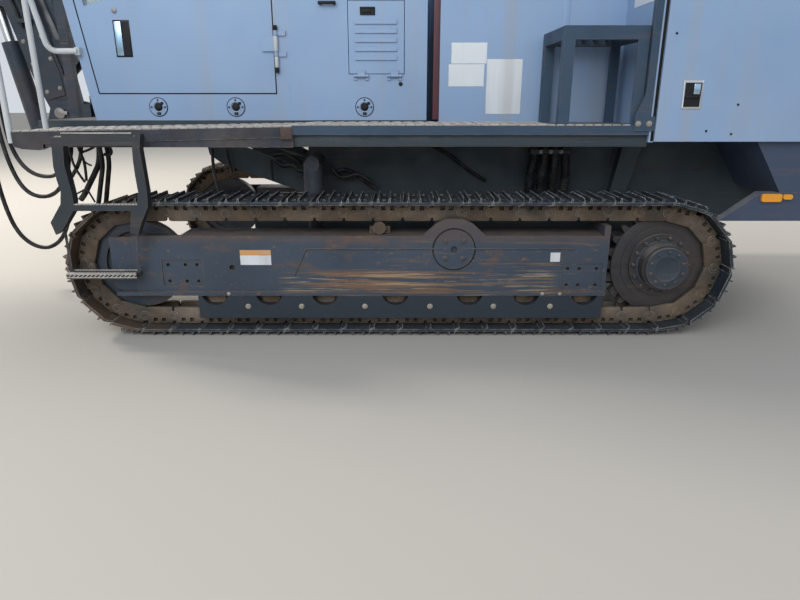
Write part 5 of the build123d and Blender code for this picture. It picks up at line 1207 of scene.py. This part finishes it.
arm_parts = []
for y in (-0.255, 0.135):
    arm_parts.append(slab(-1.42, -1.08, y - 0.035, y + 0.035, 1.840, 1.885, 0.012, 3))
    arm_parts.append(slab(-1.16, -1.10, y - 0.018, y + 0.018, 1.690, 1.842, 0.006))
    arm_parts.append(drum(-1.385, y, 1.935, "Z", 0.011, 0.100, 12, 0.003))
    arm_parts.append(drum(-1.385, y, 2.010, "Z", 0.022, 0.075, 14, 0.008))
finished(arm_parts, "seat_arms", dark_plastic)
finished(slab(-0.992, -0.905, -0.215, 0.095, 2.200, 2.330, 0.020, 3), "seat_head_rest", seat_cloth)
screen = slab(-1.900, -1.872, 0.195, 0.345, 1.930, 2.040, 0.004)
sunk(screen, facing("X"), shrink=0.9)
finished(screen, "console_screen", dark_plastic)
WIPER_ARM = [(-2.128, 1.555), (-2.112, 1.555), (-2.164, 2.02), (-2.178, 2.02)]
finished([
    slab(-2.126, -2.112, -0.020, 0.020, 1.520, 1.570, 0.004),
    slab(-2.178, -2.160, -0.008, 0.008, 1.780, 2.240, 0.002),
    outline_plate(WIPER_ARM, -0.006, 0.006, 0.001),
], "wiper", dark_plastic)


# Pins' heads on the boom's two ends and on the lift cylinder's foot

# columns: body, X, Z, how far the head stands from the boom's middle plane, radius
for number, (body, x, z, out, radius) in enumerate((
    ("boom", *on_boom(1.760, 0), 0.130, 0.042), ("swing_bracket", *BOOM_FOOT, 0.170, 0.042),
    ("swing_bracket", -2.960, 1.045, 0.165, 0.036),
)):
    heads = []
    for side, _, way in SIDES:
        head = drum(x, BOOM_Y + side * out, z, "Y", radius, 0.010, 24, 0.003)
        sunk(head, facing(way), shrink=0.6)
        inner, outer = BOOM_Y + side * (out - 0.004), BOOM_Y + side * (out + 0.006)
        heads += [head, slab(x - 0.014, x + 0.060, inner, outer, z - 0.014, z + 0.014, 0.003)]
    finished(heads, "pin_heads_%d" % number, rod_steel, body)


# Floor and light


def pale_floor():
    nothing_selected()
    bpy.ops.mesh.primitive_plane_add(size=120.0, location=(0, 0, 0))
    floor = bpy.context.object
    floor.name = "floor"
    f = Finish("floor_pale", (0.38, 0.355, 0.32), roughness=0.9)
    f.shader.inputs["Base Color"].default_value = (*f.colour, 1.0)
    floor.data.materials.append(f.material)


def soft_light():
    world = bpy.data.worlds.new("studio")
    bpy.context.scene.world = world
    world.use_nodes = True
    ground = world.node_tree.nodes["Background"]
    ground.inputs["Color"].default_value = (0.88, 0.93, 1.0, 1)
    ground.inputs["Strength"].default_value = 0.74
    # columns: name, place, watts, width, colour, what it points at
    for name, place, watts, width, colour, target in (
        ("sky", (-1.5, -8.5, 6.5), 560, 7.0, (0.86, 0.93, 1.0), (1.2, 0, 1.4)),
        ("sun", (-9.0, 3.5, 8.5), 1900, 2.5, (1.0, 0.95, 0.87), (0.8, 0, 1.0)),
        ("rim", (6.0, 9.0, 8.0), 700, 6.0, (1.0, 0.98, 0.95), (1.2, 0, 1.0)),
    ):
        lamp = bpy.data.lights.new(name, "AREA")
        lamp.energy = watts
        lamp.size = width
        lamp.color = colour
        holder = bpy.data.objects.new(name, lamp)
        bpy.context.collection.objects.link(holder)
        holder.location = place
        holder.rotation_mode = "QUATERNION"
        holder.rotation_quaternion = (Vector(target) - Vector(place)).to_track_quat("-Z", "Y")


pale_floor()
soft_light()
bpy.context.scene.view_settings.view_transform = "Standard"
